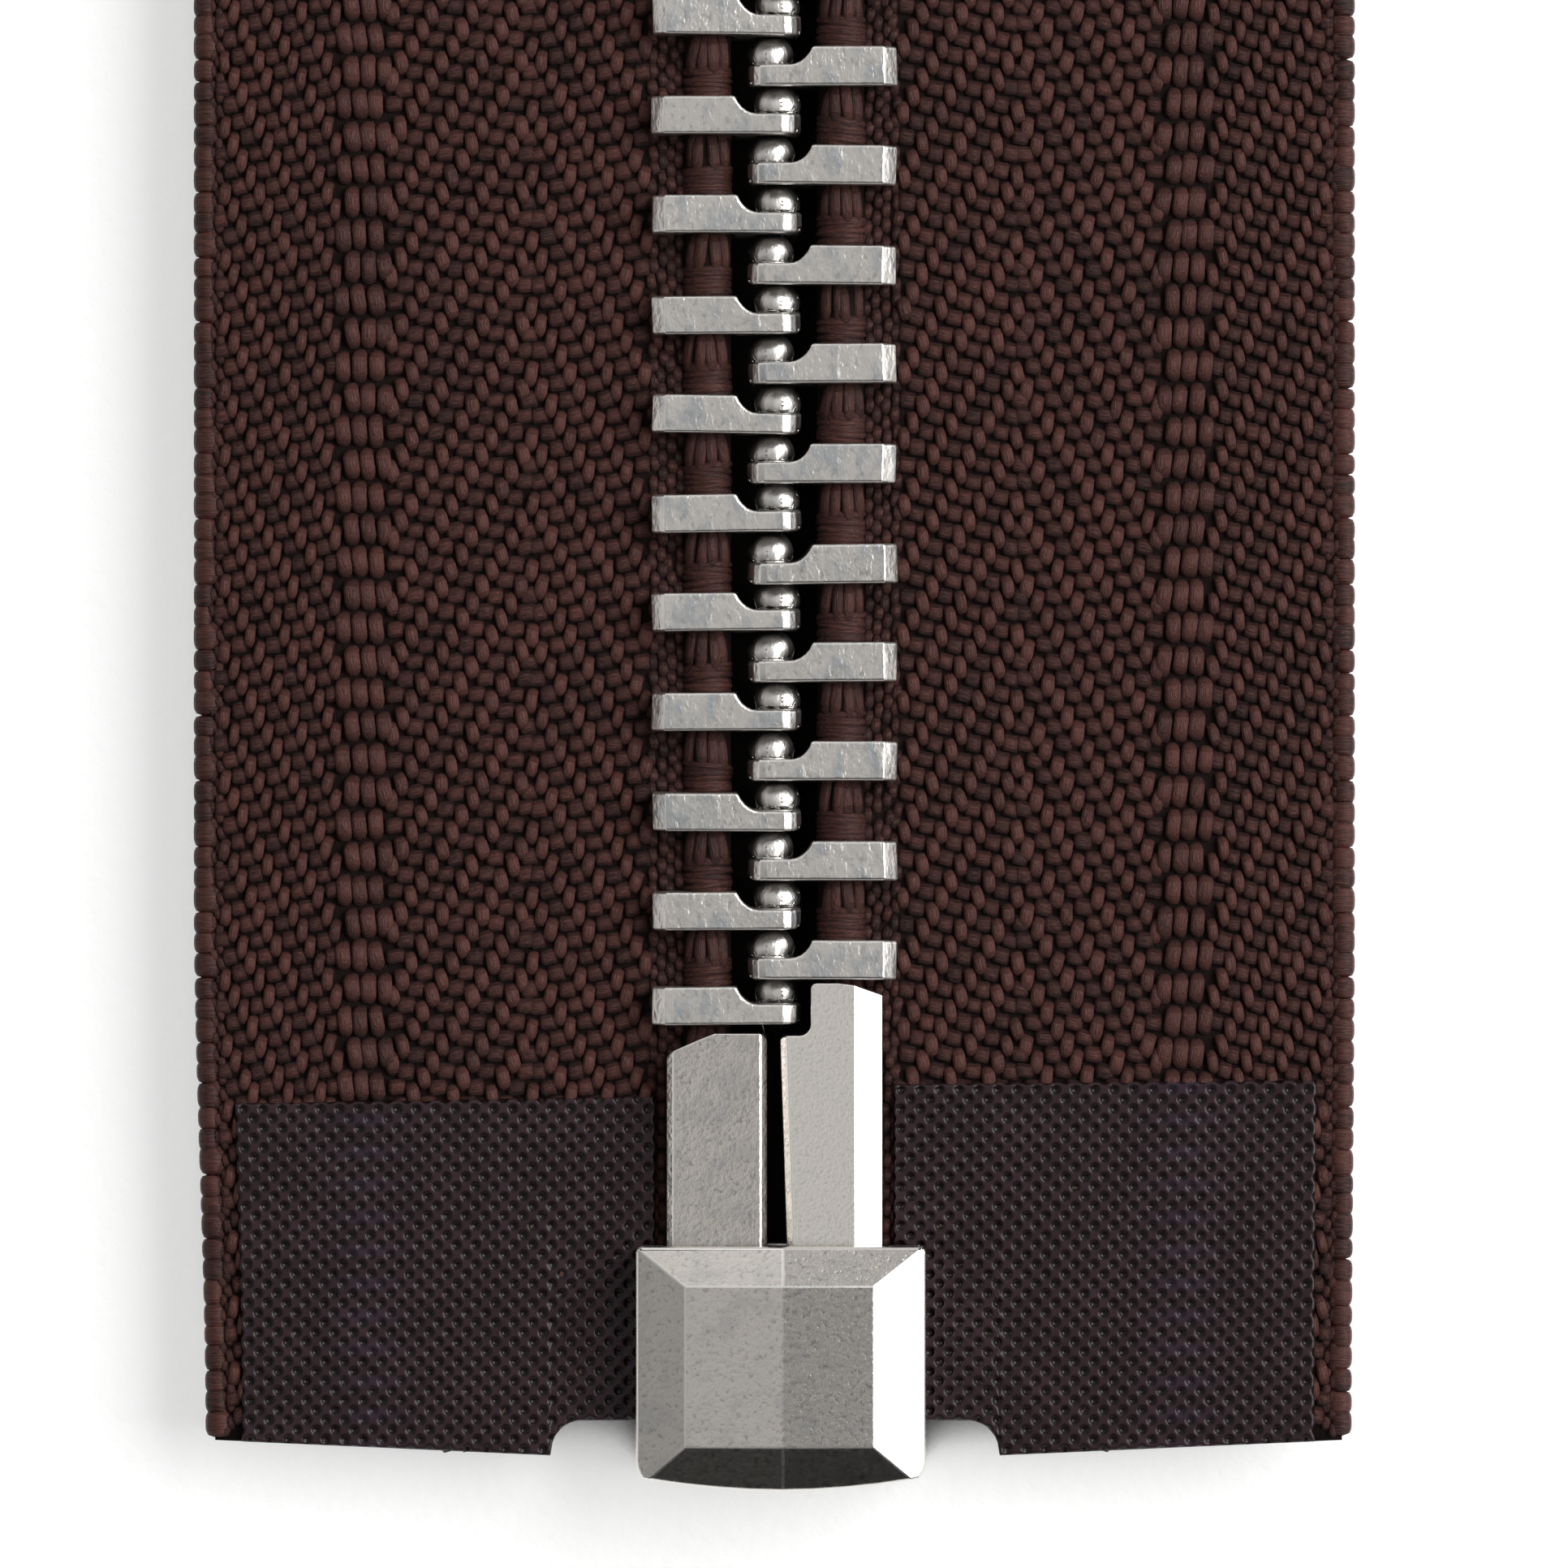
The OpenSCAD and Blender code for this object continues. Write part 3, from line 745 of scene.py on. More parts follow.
@dataclass(frozen=True)
class Paper(Finish):
    """The pale floor and its backdrop."""

    name: str
    slot: str
    colour: Colour
    glow: float = 1.25
    share: float = 0.45

    def paint(self, graph: Graph) -> None:
        """White with a faint paper tooth; what is seen directly is lifted to white and keeps its shadow.
        Under and between the zipper's parts it carries a painted shadow.

        Args:
            graph: the material's node tree.
        """
        tooth = graph.noise(graph.place(), 2.2, 4.0)
        pale = tooth.between(0.2, 0.8).blend(tuple(0.985 * c for c in self.colour), self.colour)
        # Painted shadow: where little open air reaches, under and between the zipper's parts, the floor's
        # colour goes nearly black and its glow fades.
        open_air = graph.node("ShaderNodeAmbientOcclusion", {"samples": 12}, {"Distance": 12 * MM}, "AO")
        shader = graph.node(
            "ShaderNodeBsdfPrincipled",
            inputs={
                "Base Color": open_air.between(0.24, 0.46).blend((0.016, 0.012, 0.010), pale),
                "Roughness": 0.9,
                "Specular IOR Level": 0.1,
                "Normal": graph.bump(tooth, 0.05),
            },
        )
        bright = {"Color": (1.0, 1.0, 0.995, 1.0), "Strength": self.glow}
        glow = graph.node("ShaderNodeEmission", inputs=bright)
        kinds = ("Is Camera Ray", "Is Glossy Ray", "Is Transmission Ray")
        seen = [graph.node("ShaderNodeLightPath", output=kind) for kind in kinds]
        share = seen[0].apply("MAXIMUM", seen[1]).apply("MAXIMUM", seen[2])
        lit = open_air.between(0.28, 0.50) * share * self.share
        both = graph.node("ShaderNodeMixShader", inputs={0: lit, 1: shader, 2: glow})
        graph.node("ShaderNodeOutputMaterial", inputs={"Surface": both})


TAPE_YARN = Yarn("brown_yarn", "tape_yarn", linear(21, 8, 7), linear(78, 44, 38))
DEEP_YARN = Yarn("deep_brown_yarn", "tape_yarn", linear(19, 8, 7), linear(72, 40, 34))
CORD_YARN = Yarn(
    "core_cord_yarn", "cord_yarn", linear(46, 30, 28), linear(112, 80, 72), roughness=0.7, fibres=20.0
)
# Painted shade: the ground cloth and the bead's core are nearly black, standing in for the shade in the gaps.
SHADE_GROUND = Cloth("weave_ground", "tape_yarn", linear(22, 9, 7))
FILM = Film("bonded_film", "film", linear(47, 32, 37), linear(19, 8, 8))
BOX_PLATE = Nickel(
    "box_nickel", "box_metal", (0.63, 0.595, 0.55), roughness=0.13, grain=8.0, depth=0.013, pits=0.6,
    smudge=0.25
)
PIN_PLATE = Nickel("pin_nickel", "pin_metal", (0.69, 0.65, 0.60), grain=8.0, depth=0.014, pits=0.6, swell=1.2)
POST_PLATE = Nickel(
    "post_nickel", "pin_metal", (0.92, 0.87, 0.81), roughness=0.17, grain=11.0, depth=0.007, pits=0.3,
    smudge=0.08
)
TOOTH_PLATE = Nickel(
    "tooth_nickel", "tooth_metal", (0.69, 0.66, 0.62), roughness=0.22, grain=5.0, depth=0.011, pits=0.5,
    smudge=0.6, draw=(1.3, 0.7, 1.0), swell=5.0
)
SLIDER_PLATE = Nickel(
    "slider_nickel", "slider_metal", (0.66, 0.63, 0.59), roughness=0.15, grain=6.0, depth=0.006, pits=0.3,
    smudge=0.15
)
SPRING_STEEL = Nickel(
    "spring_steel", "spring", (0.52, 0.53, 0.55), roughness=0.24, depth=0.006, pits=0.2, smudge=0.1,
    draw=(0.3, 2.6, 1.0)
)
PAPER = Paper("white_paper", "", (0.90, 0.90, 0.895))


# ---- Meshes ----


def add_piece(
    name: str,
    points: np.ndarray,
    faces: np.ndarray | list,
    finish: Finish,
    fields: dict[str, np.ndarray] | None = None,
    cells: np.ndarray | None = None,
) -> bpy.types.Object:
    """Makes a smooth-shaded mesh piece.

    Args:
        name: the piece's name.
        points: N by 3, in the drawing frame.
        faces: the faces' corner numbers.
        finish: what it is made of.
        fields: vectors to keep at the vertices, each N by 3.
        cells: N by 2, the vertices' places in the OFBake map.

    Returns:
        The piece.
    """
    mesh = bpy.data.meshes.new(name)
    corners = faces if isinstance(faces, list) else faces.tolist()
    mesh.from_pydata(DRAWING.to_row(points).tolist(), [], corners)
    mesh.shade_smooth()
    for key, values in (fields or {}).items():
        kept = mesh.attributes.new(key, "FLOAT_VECTOR", "POINT")
        kept.data.foreach_set("vector", np.asarray(values, np.float32).ravel())
    if cells is not None:
        corner = np.empty(len(mesh.loops), np.int32)
        mesh.loops.foreach_get("vertex_index", corner)
        layer = mesh.uv_layers.new(name="OFBake")
        layer.uv.foreach_set("vector", np.asarray(cells, np.float32)[corner].ravel())
    mesh.materials.append(finish.material())
    piece = bpy.data.objects.new(name, mesh)
    bpy.context.collection.objects.link(piece)
    LOG.info("%s: %d faces", name, len(mesh.polygons))
    return piece


def grid_quads(rows: int, columns: int, start: int = 0, flip: bool = False) -> np.ndarray:
    """The quads of a grid of points stored row by row.

    Args:
        rows: rows of points.
        columns: points in a row.
        start: the first point's number.
        flip: whether the faces look the other way.

    Returns:
        An array of corner numbers, four to a quad.
    """
    at = start + np.arange(rows * columns).reshape(rows, columns)
    ends = [at[:-1, :-1], at[:-1, 1:], at[1:, 1:], at[1:, :-1]]
    quads = np.stack(ends[::-1] if flip else ends, -1)
    return quads.reshape(-1, 4)


def tube_quads(rings: int, sides: int) -> np.ndarray:
    """The quads of a tube of points stored ring by ring.

    Args:
        rings: rings of points.
        sides: points in a ring.

    Returns:
        An array of corner numbers, four to a quad.
    """
    at = np.arange(rings * sides).reshape(rings, sides)
    after = np.roll(at, -1, 1)
    return np.stack([at[:-1], after[:-1], after[1:], at[1:]], -1).reshape(-1, 4)


# ---- Path of a stringer ----


@dataclass(frozen=True)
class Stringer:
    """The line that a row of teeth and its tape follow, with the S-bend inside the slider.

    bend_y is where that bend starts. Near its lower end a tape's outer part draws in: the draw grows
    downward from draw_top over draw_run, and outward from draw_out over draw_w. When the slider comes
    down, each half bends between the two heights of its hinge.
    """

    bend_y: float
    bead_out: float = 1.7
    splay: float = 1.62
    radius: float = 15.0
    turn: float = math.atan(7 / 24)
    pitch: float = 2.5
    count: int = 35
    first_left: float = 12.07
    first_right: float = 13.32
    draw_top: float = 15.0
    draw_run: float = 14.0
    draw_out: float = 4.0
    draw_w: float = 10.6
    hinge_left: tuple[float, float] = (7.0, 21.0)
    hinge_right: tuple[float, float] = (8.0, 22.5)

    @property
    def arc_out(self) -> float:
        """How far each arc moves the row outward."""
        return self.radius * (1 - math.cos(self.turn))

    @property
    def arc_y(self) -> float:
        """How far each arc runs along the chain."""
        return self.radius * math.sin(self.turn)

    @property
    def bend_l(self) -> float:
        """The whole bend's run along the chain."""
        return 2 * self.arc_y + (self.splay - 2 * self.arc_out) / math.tan(self.turn)

    def shift(self, y: np.ndarray) -> np.ndarray:
        """Works out how far the row is pushed outward.

        Args:
            y: heights.

        Returns:
            The distance at each height.
        """
        v = np.clip(np.asarray(y, float) - self.bend_y, 0, self.bend_l)
        w = self.bend_l - v
        first = self.radius - np.sqrt(np.maximum(self.radius**2 - np.minimum(v, self.arc_y) ** 2, 0))
        last = self.splay - self.radius + np.sqrt(self.radius**2 - np.minimum(w, self.arc_y) ** 2)
        link = self.arc_out + (v - self.arc_y) * math.tan(self.turn)
        return np.where(v <= self.arc_y, first, np.where(w <= self.arc_y, last, link))

    def place(
        self, side: Side, out: np.ndarray, y: np.ndarray, z: np.ndarray, pull: float = 0.0
    ) -> np.ndarray:
        """Sets points of one half in the drawing frame.

        Args:
            side: the half.
            out: distances from the centre line before the bend.
            y: heights.
            z: distances from the tape's middle.
            pull: how far the tape's outer edge draws in at its lower end.

        Returns:
            The points, with X, Y and Z on the last axis.
        """
        low = np.clip((self.draw_top - y) / self.draw_run, 0, 1)
        drawn = out - pull * low * low * (3 - 2 * low) * np.clip((out - self.draw_out) / self.draw_w, 0, 1)
        return np.stack([side.value * (drawn + self.shift(y)), y, z], -1)


PATH = Stringer(bend_y=float(DRAWING.from_row(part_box("slider_body")[0])[1]))


# ---- Woven tape ----


@dataclass
class Floats:
    """Short stretches of yarn, each a half tube that rises out of the cloth and dives back.

    crest is how high the yarn's middle lies above the tape's, dive how far its ends drop, and lean its
    angle in degrees from upright. taper and blunt shape its ends, and fullness its cross-section. tone
    runs from 0 for dark to 1 for light, less end_shade and side_shade, painted shade toward its rims.
    jitter and the spreads are how much the floats differ.
    """

    out: np.ndarray
    y: np.ndarray
    length: float
    width: float
    crest: float | np.ndarray
    dive: float
    lean: float = 0.0
    stations: int = 6
    arcs: int = 5
    thick: float = 0.10
    seed: int = 1
    jitter: float = 0.014
    tone: float = 0.5
    end_shade: float = 0.8
    side_shade: float = 0.15
    taper: float = 0.38
    blunt: int = 3
    fullness: float = 0.65
    sway: float = 0.018
    length_spread: float = 0.04
    width_spread: float = 0.05
    lean_spread: float = 3.0
    height_spread: float = 0.010
    tone_spread: float = 0.18
    thread_spread: float = 40.0

    def shape(self) -> tuple[np.ndarray, np.ndarray, np.ndarray, np.ndarray, np.ndarray]:
        """Works out the half tubes.

        Returns:
            out, y and z of every point, each with one row to a float; the thread field; and the
            quads of one float.
        """
        rng = np.random.default_rng(self.seed)
        n = len(self.out)
        even = np.linspace(-1, 1, self.stations)[None, :, None]
        t = (even + np.sin(np.pi / 2 * even)) / 2
        a = np.linspace(0, np.pi, self.arcs)[None, None, :]

        def vary(spread: float) -> np.ndarray:
            """A random change for each float."""
            return rng.normal(0, spread, n)[:, None, None]

        length = self.length * (1 + vary(self.length_spread))
        width = self.width * (1 + vary(self.width_spread))
        lean = np.radians(self.lean + vary(self.lean_spread))
        across = width / 2 * np.cos(a) * (1 - self.taper * np.abs(t) ** 5)
        along = length / 2 * t * (1 + 0 * a)
        high = np.reshape(self.crest, (-1, 1, 1)) + vary(self.height_spread)
        z = high - self.thick * (1 - np.sin(a) ** self.fullness) - self.dive * np.abs(t) ** self.blunt
        swayed = across + self.sway * np.sin(np.pi * t) * np.sign(self.lean if self.lean else 1)
        out = self.out[:, None, None] + vary(self.jitter) + swayed * np.cos(lean) - along * np.sin(lean)
        y = self.y[:, None, None] + vary(self.jitter) + swayed * np.sin(lean) + along * np.cos(lean)
        even_tone = self.tone + vary(self.tone_spread)
        # Painted shade: the tone darkens toward the float's ends, where it dives into the cloth, and toward
        # its sides.
        tone = even_tone - self.end_shade * np.abs(t) ** 4 - self.side_shade * np.cos(a) ** 4
        offset = (rng.random(n) * self.thread_spread)[:, None, None]
        thread = np.stack([across + offset, along + offset * 0.7, tone], -1)
        quads = grid_quads(self.stations, self.arcs, flip=True)
        shape = (n, self.stations * self.arcs)
        return out.reshape(shape), y.reshape(shape), z.reshape(shape), thread.reshape(*shape, 3), quads


def weave_piece(
    name: str,
    side: Side,
    face: Face,
    bundles: Sequence[Floats],
    finish: Finish,
    pull: float,
    wrap: Callable[[np.ndarray, np.ndarray, np.ndarray], tuple] | None = None,
) -> bpy.types.Object:
    """Makes one piece of many floats.

    Args:
        name: the piece's name.
        side: the half of the zipper.
        face: the face of the tape.
        bundles: the floats.
        finish: their yarn.
        pull: how far the tape's outer edge draws in at its lower end.
        wrap: moves the points, for floats that go round the bead.

    Returns:
        The piece.
    """
    points, quads, threads, cells, count = [], [], [], [], 0
    total = sum(len(bundle.out) for bundle in bundles)
    across = math.ceil(math.sqrt(total))
    drawn = 0
    for bundle in bundles:
        out, y, z, thread, one = bundle.shape()
        if wrap is not None:
            out, y, z = wrap(out, y, z)
        placed = PATH.place(side, out, y, z * face.value, pull)
        n, each = out.shape
        if side.value * face.value < 0:
            one = one[:, ::-1]
        quads.append((one[None] + (count + each * np.arange(n))[:, None, None]).reshape(-1, 4))
        number = drawn + np.arange(n)
        u, v = np.meshgrid(np.linspace(0.1, 0.9, bundle.arcs), np.linspace(0.1, 0.9, bundle.stations))
        cell = np.stack([(number % across)[:, None] + u.ravel(), (number // across)[:, None] + v.ravel()], -1)
        cells.append(cell.reshape(-1, 2) / across)
        points.append(placed.reshape(-1, 3))
        threads.append(thread.reshape(-1, 3))
        count, drawn = count + n * each, drawn + n
    return add_piece(
        name,
        np.concatenate(points),
        np.concatenate(quads),
        finish,
        {"thread": np.concatenate(threads)},
        np.concatenate(cells),
    )


@dataclass(frozen=True)
class Twill:
    """A strip of the weave: columns of upright floats that climb a row a column, and weft between them.

    weft_over and weft_up are how far the weft, which lies across, is set over from its place.
    """

    inner: float
    outer: float
    columns: int
    lean: float
    climb: int
    phase: int = 0
    weft_over: float = 0.08
    weft_up: float = 0.18

    def floats(self, face: Face, rows: np.ndarray, row_h: float, keep: Callable, seed: int) -> list[Floats]:
        """Lays out the strip's upright floats and the weft between them.

        Args:
            face: the face of the tape; the back has its upright floats where the front has weft.
            rows: the numbers of the rows.
            row_h: the rows' height.
            keep: says which places lie on the cloth.
            seed: the random seed.

        Returns:
            The upright floats and the weft.
        """
        pitch = (self.outer - self.inner) / self.columns
        column, row = np.meshgrid(np.arange(self.columns), rows)
        turn = (row - self.climb * column + self.phase + (0 if face is Face.FRONT else 2)) % 4
        out, y = self.inner + (column + 0.5) * pitch, row * row_h
        fine = face is Face.FRONT
        up, low = (turn == 0) & keep(out, y), (turn == 2) & keep(out, y)
        grid = {"stations": 7 if fine else 5, "arcs": 7 if fine else 4}
        warp = Floats(
            out[up], y[up], length=0.65, width=1.34 * pitch, crest=0.37, dive=0.22, lean=self.lean,
            thick=0.13, seed=seed, tone=0.84, taper=0.12, blunt=5, **grid
        )
        weft = Floats(
            out[low] + self.weft_over * self.climb, y[low] + self.weft_up, length=1.80 * pitch, width=0.43,
            crest=0.34, dive=0.12, lean=90.0, thick=0.14, seed=seed + 2, tone=0.34, end_shade=0.3,
            side_shade=0.8, taper=0.06, blunt=5, **grid
        )
        return [warp, weft]


@dataclass
class Tape:
    """One woven tape: ground cloth, twill strips, guide rib, selvedge and beaded edge.

    The foot is what the cut lower end shapes, with a notch round the box. row_h is the height of a row
    of the weave, and vertex_out is where its two inner strips meet. The fans are the yarns that spread
    over the bead between two teeth, within fan_span above the lower one. lump_period is the run that
    the lumps' own places are given in.
    """

    side: Side
    length: float = 114.92
    half_w: float = 14.65
    ground_z: float = 0.17
    cloth_inset: float = 0.25
    foot_inset: float = 0.3
    row_h: float = 1.6525 / 4
    rib_out: float = 10.35
    vertex_out: float = 6.24
    foot_outer_y: float = 1.2
    foot_inner_y: float = 0.82
    notch_out: float = 4.9
    notch_y: float = 1.7
    notch_r: float = 0.8
    foot_h: float = 8.0
    film_top: float = 10.0
    rib_gap: float = 0.41
    rib_stagger: float = 0.11
    bead_r: float = 0.61
    wrap_pitch: float = 0.105
    wrap_r: float = 0.62
    wrap_reach: float = 0.65
    fan_drop: float = 0.92
    fan_span: tuple[float, float] = (1.25, 2.05)
    strand_r: float = 0.135
    strand_out: float = 0.27
    lump_period: float = 1.65
    lump_z: float = 0.335
    pieces: list[bpy.types.Object] = field(default_factory=list)

    @property
    def pull(self) -> float:
        """How far this tape's outer edge draws in at its lower end."""
        return 0.30 if self.side is Side.LEFT else 0.08

    @property
    def first_tooth(self) -> float:
        """The height of the middle of this tape's lowest tooth."""
        return PATH.first_left if self.side is Side.LEFT else PATH.first_right

    @property
    def seed(self) -> int:
        """The first of this tape's random seeds."""
        return 100 if self.side is Side.LEFT else 500

    def bottom(self, out: np.ndarray) -> np.ndarray:
        """Works out the line of the tape's cut lower end.

        Args:
            out: distances from the centre line.

        Returns:
            The end's height at each distance.
        """
        out = np.asarray(out, float)
        edge = self.notch_out + self.notch_r
        slope = (self.foot_outer_y - self.foot_inner_y) / (self.half_w - self.foot_inset - edge)
        across = np.clip((out - self.notch_out) / self.notch_r, 0, 1)
        arc = self.foot_inner_y + (self.notch_y - self.foot_inner_y) * np.sqrt(1 - across**2)
        return np.where(out >= edge, self.foot_inner_y + slope * (out - edge), arc)

    def on_cloth(self, margin: float) -> Callable[[np.ndarray, np.ndarray], np.ndarray]:
        """Makes a test for places that lie on the cloth.

        Args:
            margin: how far they stay from the cut ends.

        Returns:
            A function that takes distances from the centre line and heights.
        """

        def test(out: np.ndarray, y: np.ndarray) -> np.ndarray:
            """Whether each place lies on the cloth."""
            return (y > self.bottom(out) + margin) & (y < self.length - margin)

        return test

    def ground(self) -> bpy.types.Object:
        """Builds the cloth that the floats rise from, a closed sheet with the tape's outline.

        Returns:
            The cloth.
        """
        across, turns, foot_rows, rest_rows = 26, 9, 9, 90
        outs = np.unique(np.concatenate([
            np.linspace(self.bead_out, self.half_w - self.cloth_inset, across),
            self.notch_out + self.notch_r * np.sin(np.linspace(0, np.pi / 2, turns)),
            [self.notch_out + self.notch_r + 1e-3],
        ]))
        foot_rise = np.linspace(0, self.foot_h, foot_rows)[:-1]
        rise = np.concatenate([foot_rise, np.linspace(self.foot_h, self.length, rest_rows)])
        low = self.bottom(outs)
        y = rise[:, None] + low[None, :] * np.clip(1 - rise / self.foot_h, 0, 1)[:, None]
        y[-1] = self.length
        out = np.broadcast_to(outs, y.shape)
        rows, columns = y.shape
        faces, points = [], []
        for face in Face:
            z = np.full(y.shape, face.value * self.ground_z)
            points.append(PATH.place(self.side, out, y, z, self.pull).reshape(-1, 3))
            flip = self.side.value * face.value < 0
            faces.append(grid_quads(rows, columns, len(faces) * rows * columns, flip))
        at = np.arange(rows * columns).reshape(rows, columns)
        rim = np.concatenate([at[0, :-1], at[:-1, -1], at[-1, :0:-1], at[:0:-1, 0]])
        after = np.roll(rim, -1)
        back = rim + rows * columns
        walls = np.stack([rim, back, back[np.r_[1:len(back), 0]], after], 1)
        faces.append(walls[:, ::-1] if self.side is Side.LEFT else walls)
        name = f"{self.side.word}_tape_cloth"
        return add_piece(name, np.concatenate(points), np.concatenate(faces), SHADE_GROUND)

    @property
    def bead_out(self) -> float:
        """Where the cloth meets the middle of the bead."""
        return PATH.bead_out

    def strips(self) -> list[Twill]:
        """Lays out the three strips of twill.

        Returns:
            The strips, from the chain to the margin.
        """
        first_in, rib_in, rib_ex, last_ex = 3.14, 9.78, 10.97, 13.97
        return [
            Twill(first_in, self.vertex_out, columns=13, lean=17.0, climb=1),
            Twill(self.vertex_out, rib_in, columns=14, lean=-17.0, climb=-1, phase=1),
            Twill(rib_ex, last_ex, columns=14, lean=17.0, climb=1, phase=2),
        ]

    def _add_floats(
        self, part: str, face: Face, bundles: Sequence[Floats], finish: Finish, wrap: Callable | None = None
    ) -> None:
        """Adds a piece of floats on one face.

        Args:
            part: the part of the tape, for the piece's name.
            face: the face of the tape.
            bundles: the floats.
            finish: their yarn.
            wrap: moves the points, for floats that go round the bead.
        """
        name = f"{self.side.word}_{part}"
        self.pieces.append(weave_piece(name, self.side, face, bundles, finish, self.pull, wrap))

    def weave(self) -> None:
        """Builds the twill floats of both faces, in pieces along the tape."""
        keep = self.on_cloth(0.28)
        last = int(self.length / self.row_h)
        for face in Face:
            cuts = (0, 92, 185, last + 1) if face is Face.FRONT else (0, 140, last + 1)
            for part, (first, end) in enumerate(zip(cuts, cuts[1:]), 1):
                bundles = []
                for i, strip in enumerate(self.strips()):
                    seed = self.seed + 10 * i + 100 * part + (0 if face is Face.FRONT else 50)
                    bundles += strip.floats(face, np.arange(first, end), self.row_h, keep, seed)
                self._add_floats(f"twill_{face.word}_{part}", face, bundles, TAPE_YARN)

    def rib(self) -> None:
        """Builds the raised guide rib: rows of three fat yarns, each row set over from the last."""
        row, yarn = np.meshgrid(np.arange(1, int(self.length / self.row_h / 2)), np.arange(3))
        stagger = np.where(row % 2 == 0, self.rib_stagger, -self.rib_stagger)
        out = self.rib_out + self.rib_gap * (1 - yarn) + stagger
        y = (2 * row + 0.5) * self.row_h
        pick = self.on_cloth(0.4)(out, y)
        crest = np.where(y[pick] < self.film_top, 0.34, 0.43)
        fat = Floats(
            out[pick], y[pick], length=0.78, width=0.40, crest=crest, dive=0.20, stations=8, arcs=7,
            thick=0.13, seed=self.seed + 7, tone=0.74
        )
        for face in Face:
            self._add_floats(f"rib_{face.word}", face, [fat], TAPE_YARN)

    def _columns(
        self, inner: float, gap: float, count: int, margin: float, first_row: int = 0
    ) -> tuple[np.ndarray, np.ndarray]:
        """Works out the places of columns of short floats, every other one half a row higher.

        Args:
            inner: the first column's distance from the centre line.
            gap: from one column to the next.
            count: how many columns.
            margin: how far the floats stay from the cloth's ends.
            first_row: the lowest row.

        Returns:
            The places' distances from the centre line and their heights.
        """
        row, column = np.meshgrid(np.arange(first_row, int(self.length / self.row_h)), np.arange(count))
        out, y = inner + gap * column, (row + 0.5 * (column % 2)) * self.row_h
        pick = self.on_cloth(margin)(out, y)
        return out[pick], y[pick]

    def gutter(self) -> None:
        """Builds the short upright floats between the twill and the bead."""
        out, y = self._columns(inner=2.38, gap=0.225, count=4, margin=0.3, first_row=3)
        short = Floats(
            out, y, length=0.46, width=0.26, crest=0.29, dive=0.12, lean=3.0, seed=self.seed + 13,
            jitter=0.03, tone=0.3
        )
        for face in Face:
            self._add_floats(f"gutter_{face.word}", face, [short], DEEP_YARN)

    def bead(self) -> None:
        """Builds the bead: a core with fine yarn wrapped round it, and the cut end of its cord."""
        top = self.length - 0.03
        self.pieces.append(self._bead_core(top))
        bundles = [self._wraps(), *self._fans()]
        for face in Face:
            self._add_floats(f"bead_wrap_{face.word}", face, bundles, DEEP_YARN, self._round_bead)
        self.pieces.append(self._cord_end(top))

    def _bead_core(self, top: float) -> bpy.types.Object:
        """Builds the core under the bead's yarn, painted nearly black for the shade between the wraps.

        Args:
            top: the height of its upper end.

        Returns:
            The core.
        """
        sides = 20
        y = np.concatenate([np.arange(self.notch_y, top, 0.5), [top]])
        angle = np.linspace(0, 2 * np.pi, sides, endpoint=False)
        out = self.bead_out + self.bead_r * np.sin(angle)[None] + 0 * y[:, None]
        z = self.bead_r * np.cos(angle)[None] + 0 * y[:, None]
        ring = PATH.place(self.side, out, np.broadcast_to(y[:, None], out.shape), z)
        first, last = list(range(sides)), list(range(len(y) * sides - 1, (len(y) - 1) * sides - 1, -1))
        faces = [*tube_quads(len(y), sides).tolist(), first, last]
        if self.side is Side.RIGHT:
            faces = [face[::-1] for face in faces]
        return add_piece(f"{self.side.word}_bead_core", ring.reshape(-1, 3), faces, SHADE_GROUND)

    def _wraps(self) -> Floats:
        """Lays out the fine yarn round the bead, with gaps where the fans lie.

        Returns:
            The yarn's floats.
        """
        run = self.length - self.notch_y - 0.25
        y = self.notch_y + 0.15 + self.wrap_pitch * np.arange(int(run / self.wrap_pitch))
        above = (y - self.first_tooth) % PATH.pitch
        bare = (y < self.first_tooth - 1.6) | (y > self.first_tooth + PATH.pitch * (PATH.count - 1))
        y = y[bare | (above < self.fan_span[0]) | (above > self.fan_span[1])]
        return Floats(
            0 * y, y, length=1.95, width=0.16, crest=0.045, dive=0.02, lean=90.0, stations=9, arcs=4,
            thick=0.035, seed=self.seed + 17, jitter=0.02, tone=0.45
        )

    def _fans(self) -> list[Floats]:
        """Lays out the four yarns of each fan.

        Returns:
            The floats of all first yarns, all second ones and so on.
        """
        y = self.first_tooth + PATH.pitch * np.arange(PATH.count) - self.fan_drop
        limbs = ((-0.46, -14.0), (-0.16, -7.0), (0.16, 8.0), (0.46, 13.0))
        return [
            Floats(
                0 * y + across, y, length=1.12, width=0.33, crest=0.10, dive=0.12, lean=lean, stations=7,
                arcs=6, thick=0.11, seed=self.seed + 19 + limb, jitter=0.04, tone=0.62
            )
            for limb, (across, lean) in enumerate(limbs)
        ]

    def _round_bead(self, out: np.ndarray, y: np.ndarray, z: np.ndarray) -> tuple:
        """Bends floats that lie across the tape round the bead."""
        angle, radius = out / self.wrap_reach, self.wrap_r + z
        return self.bead_out + radius * np.sin(angle), y, radius * np.cos(angle)

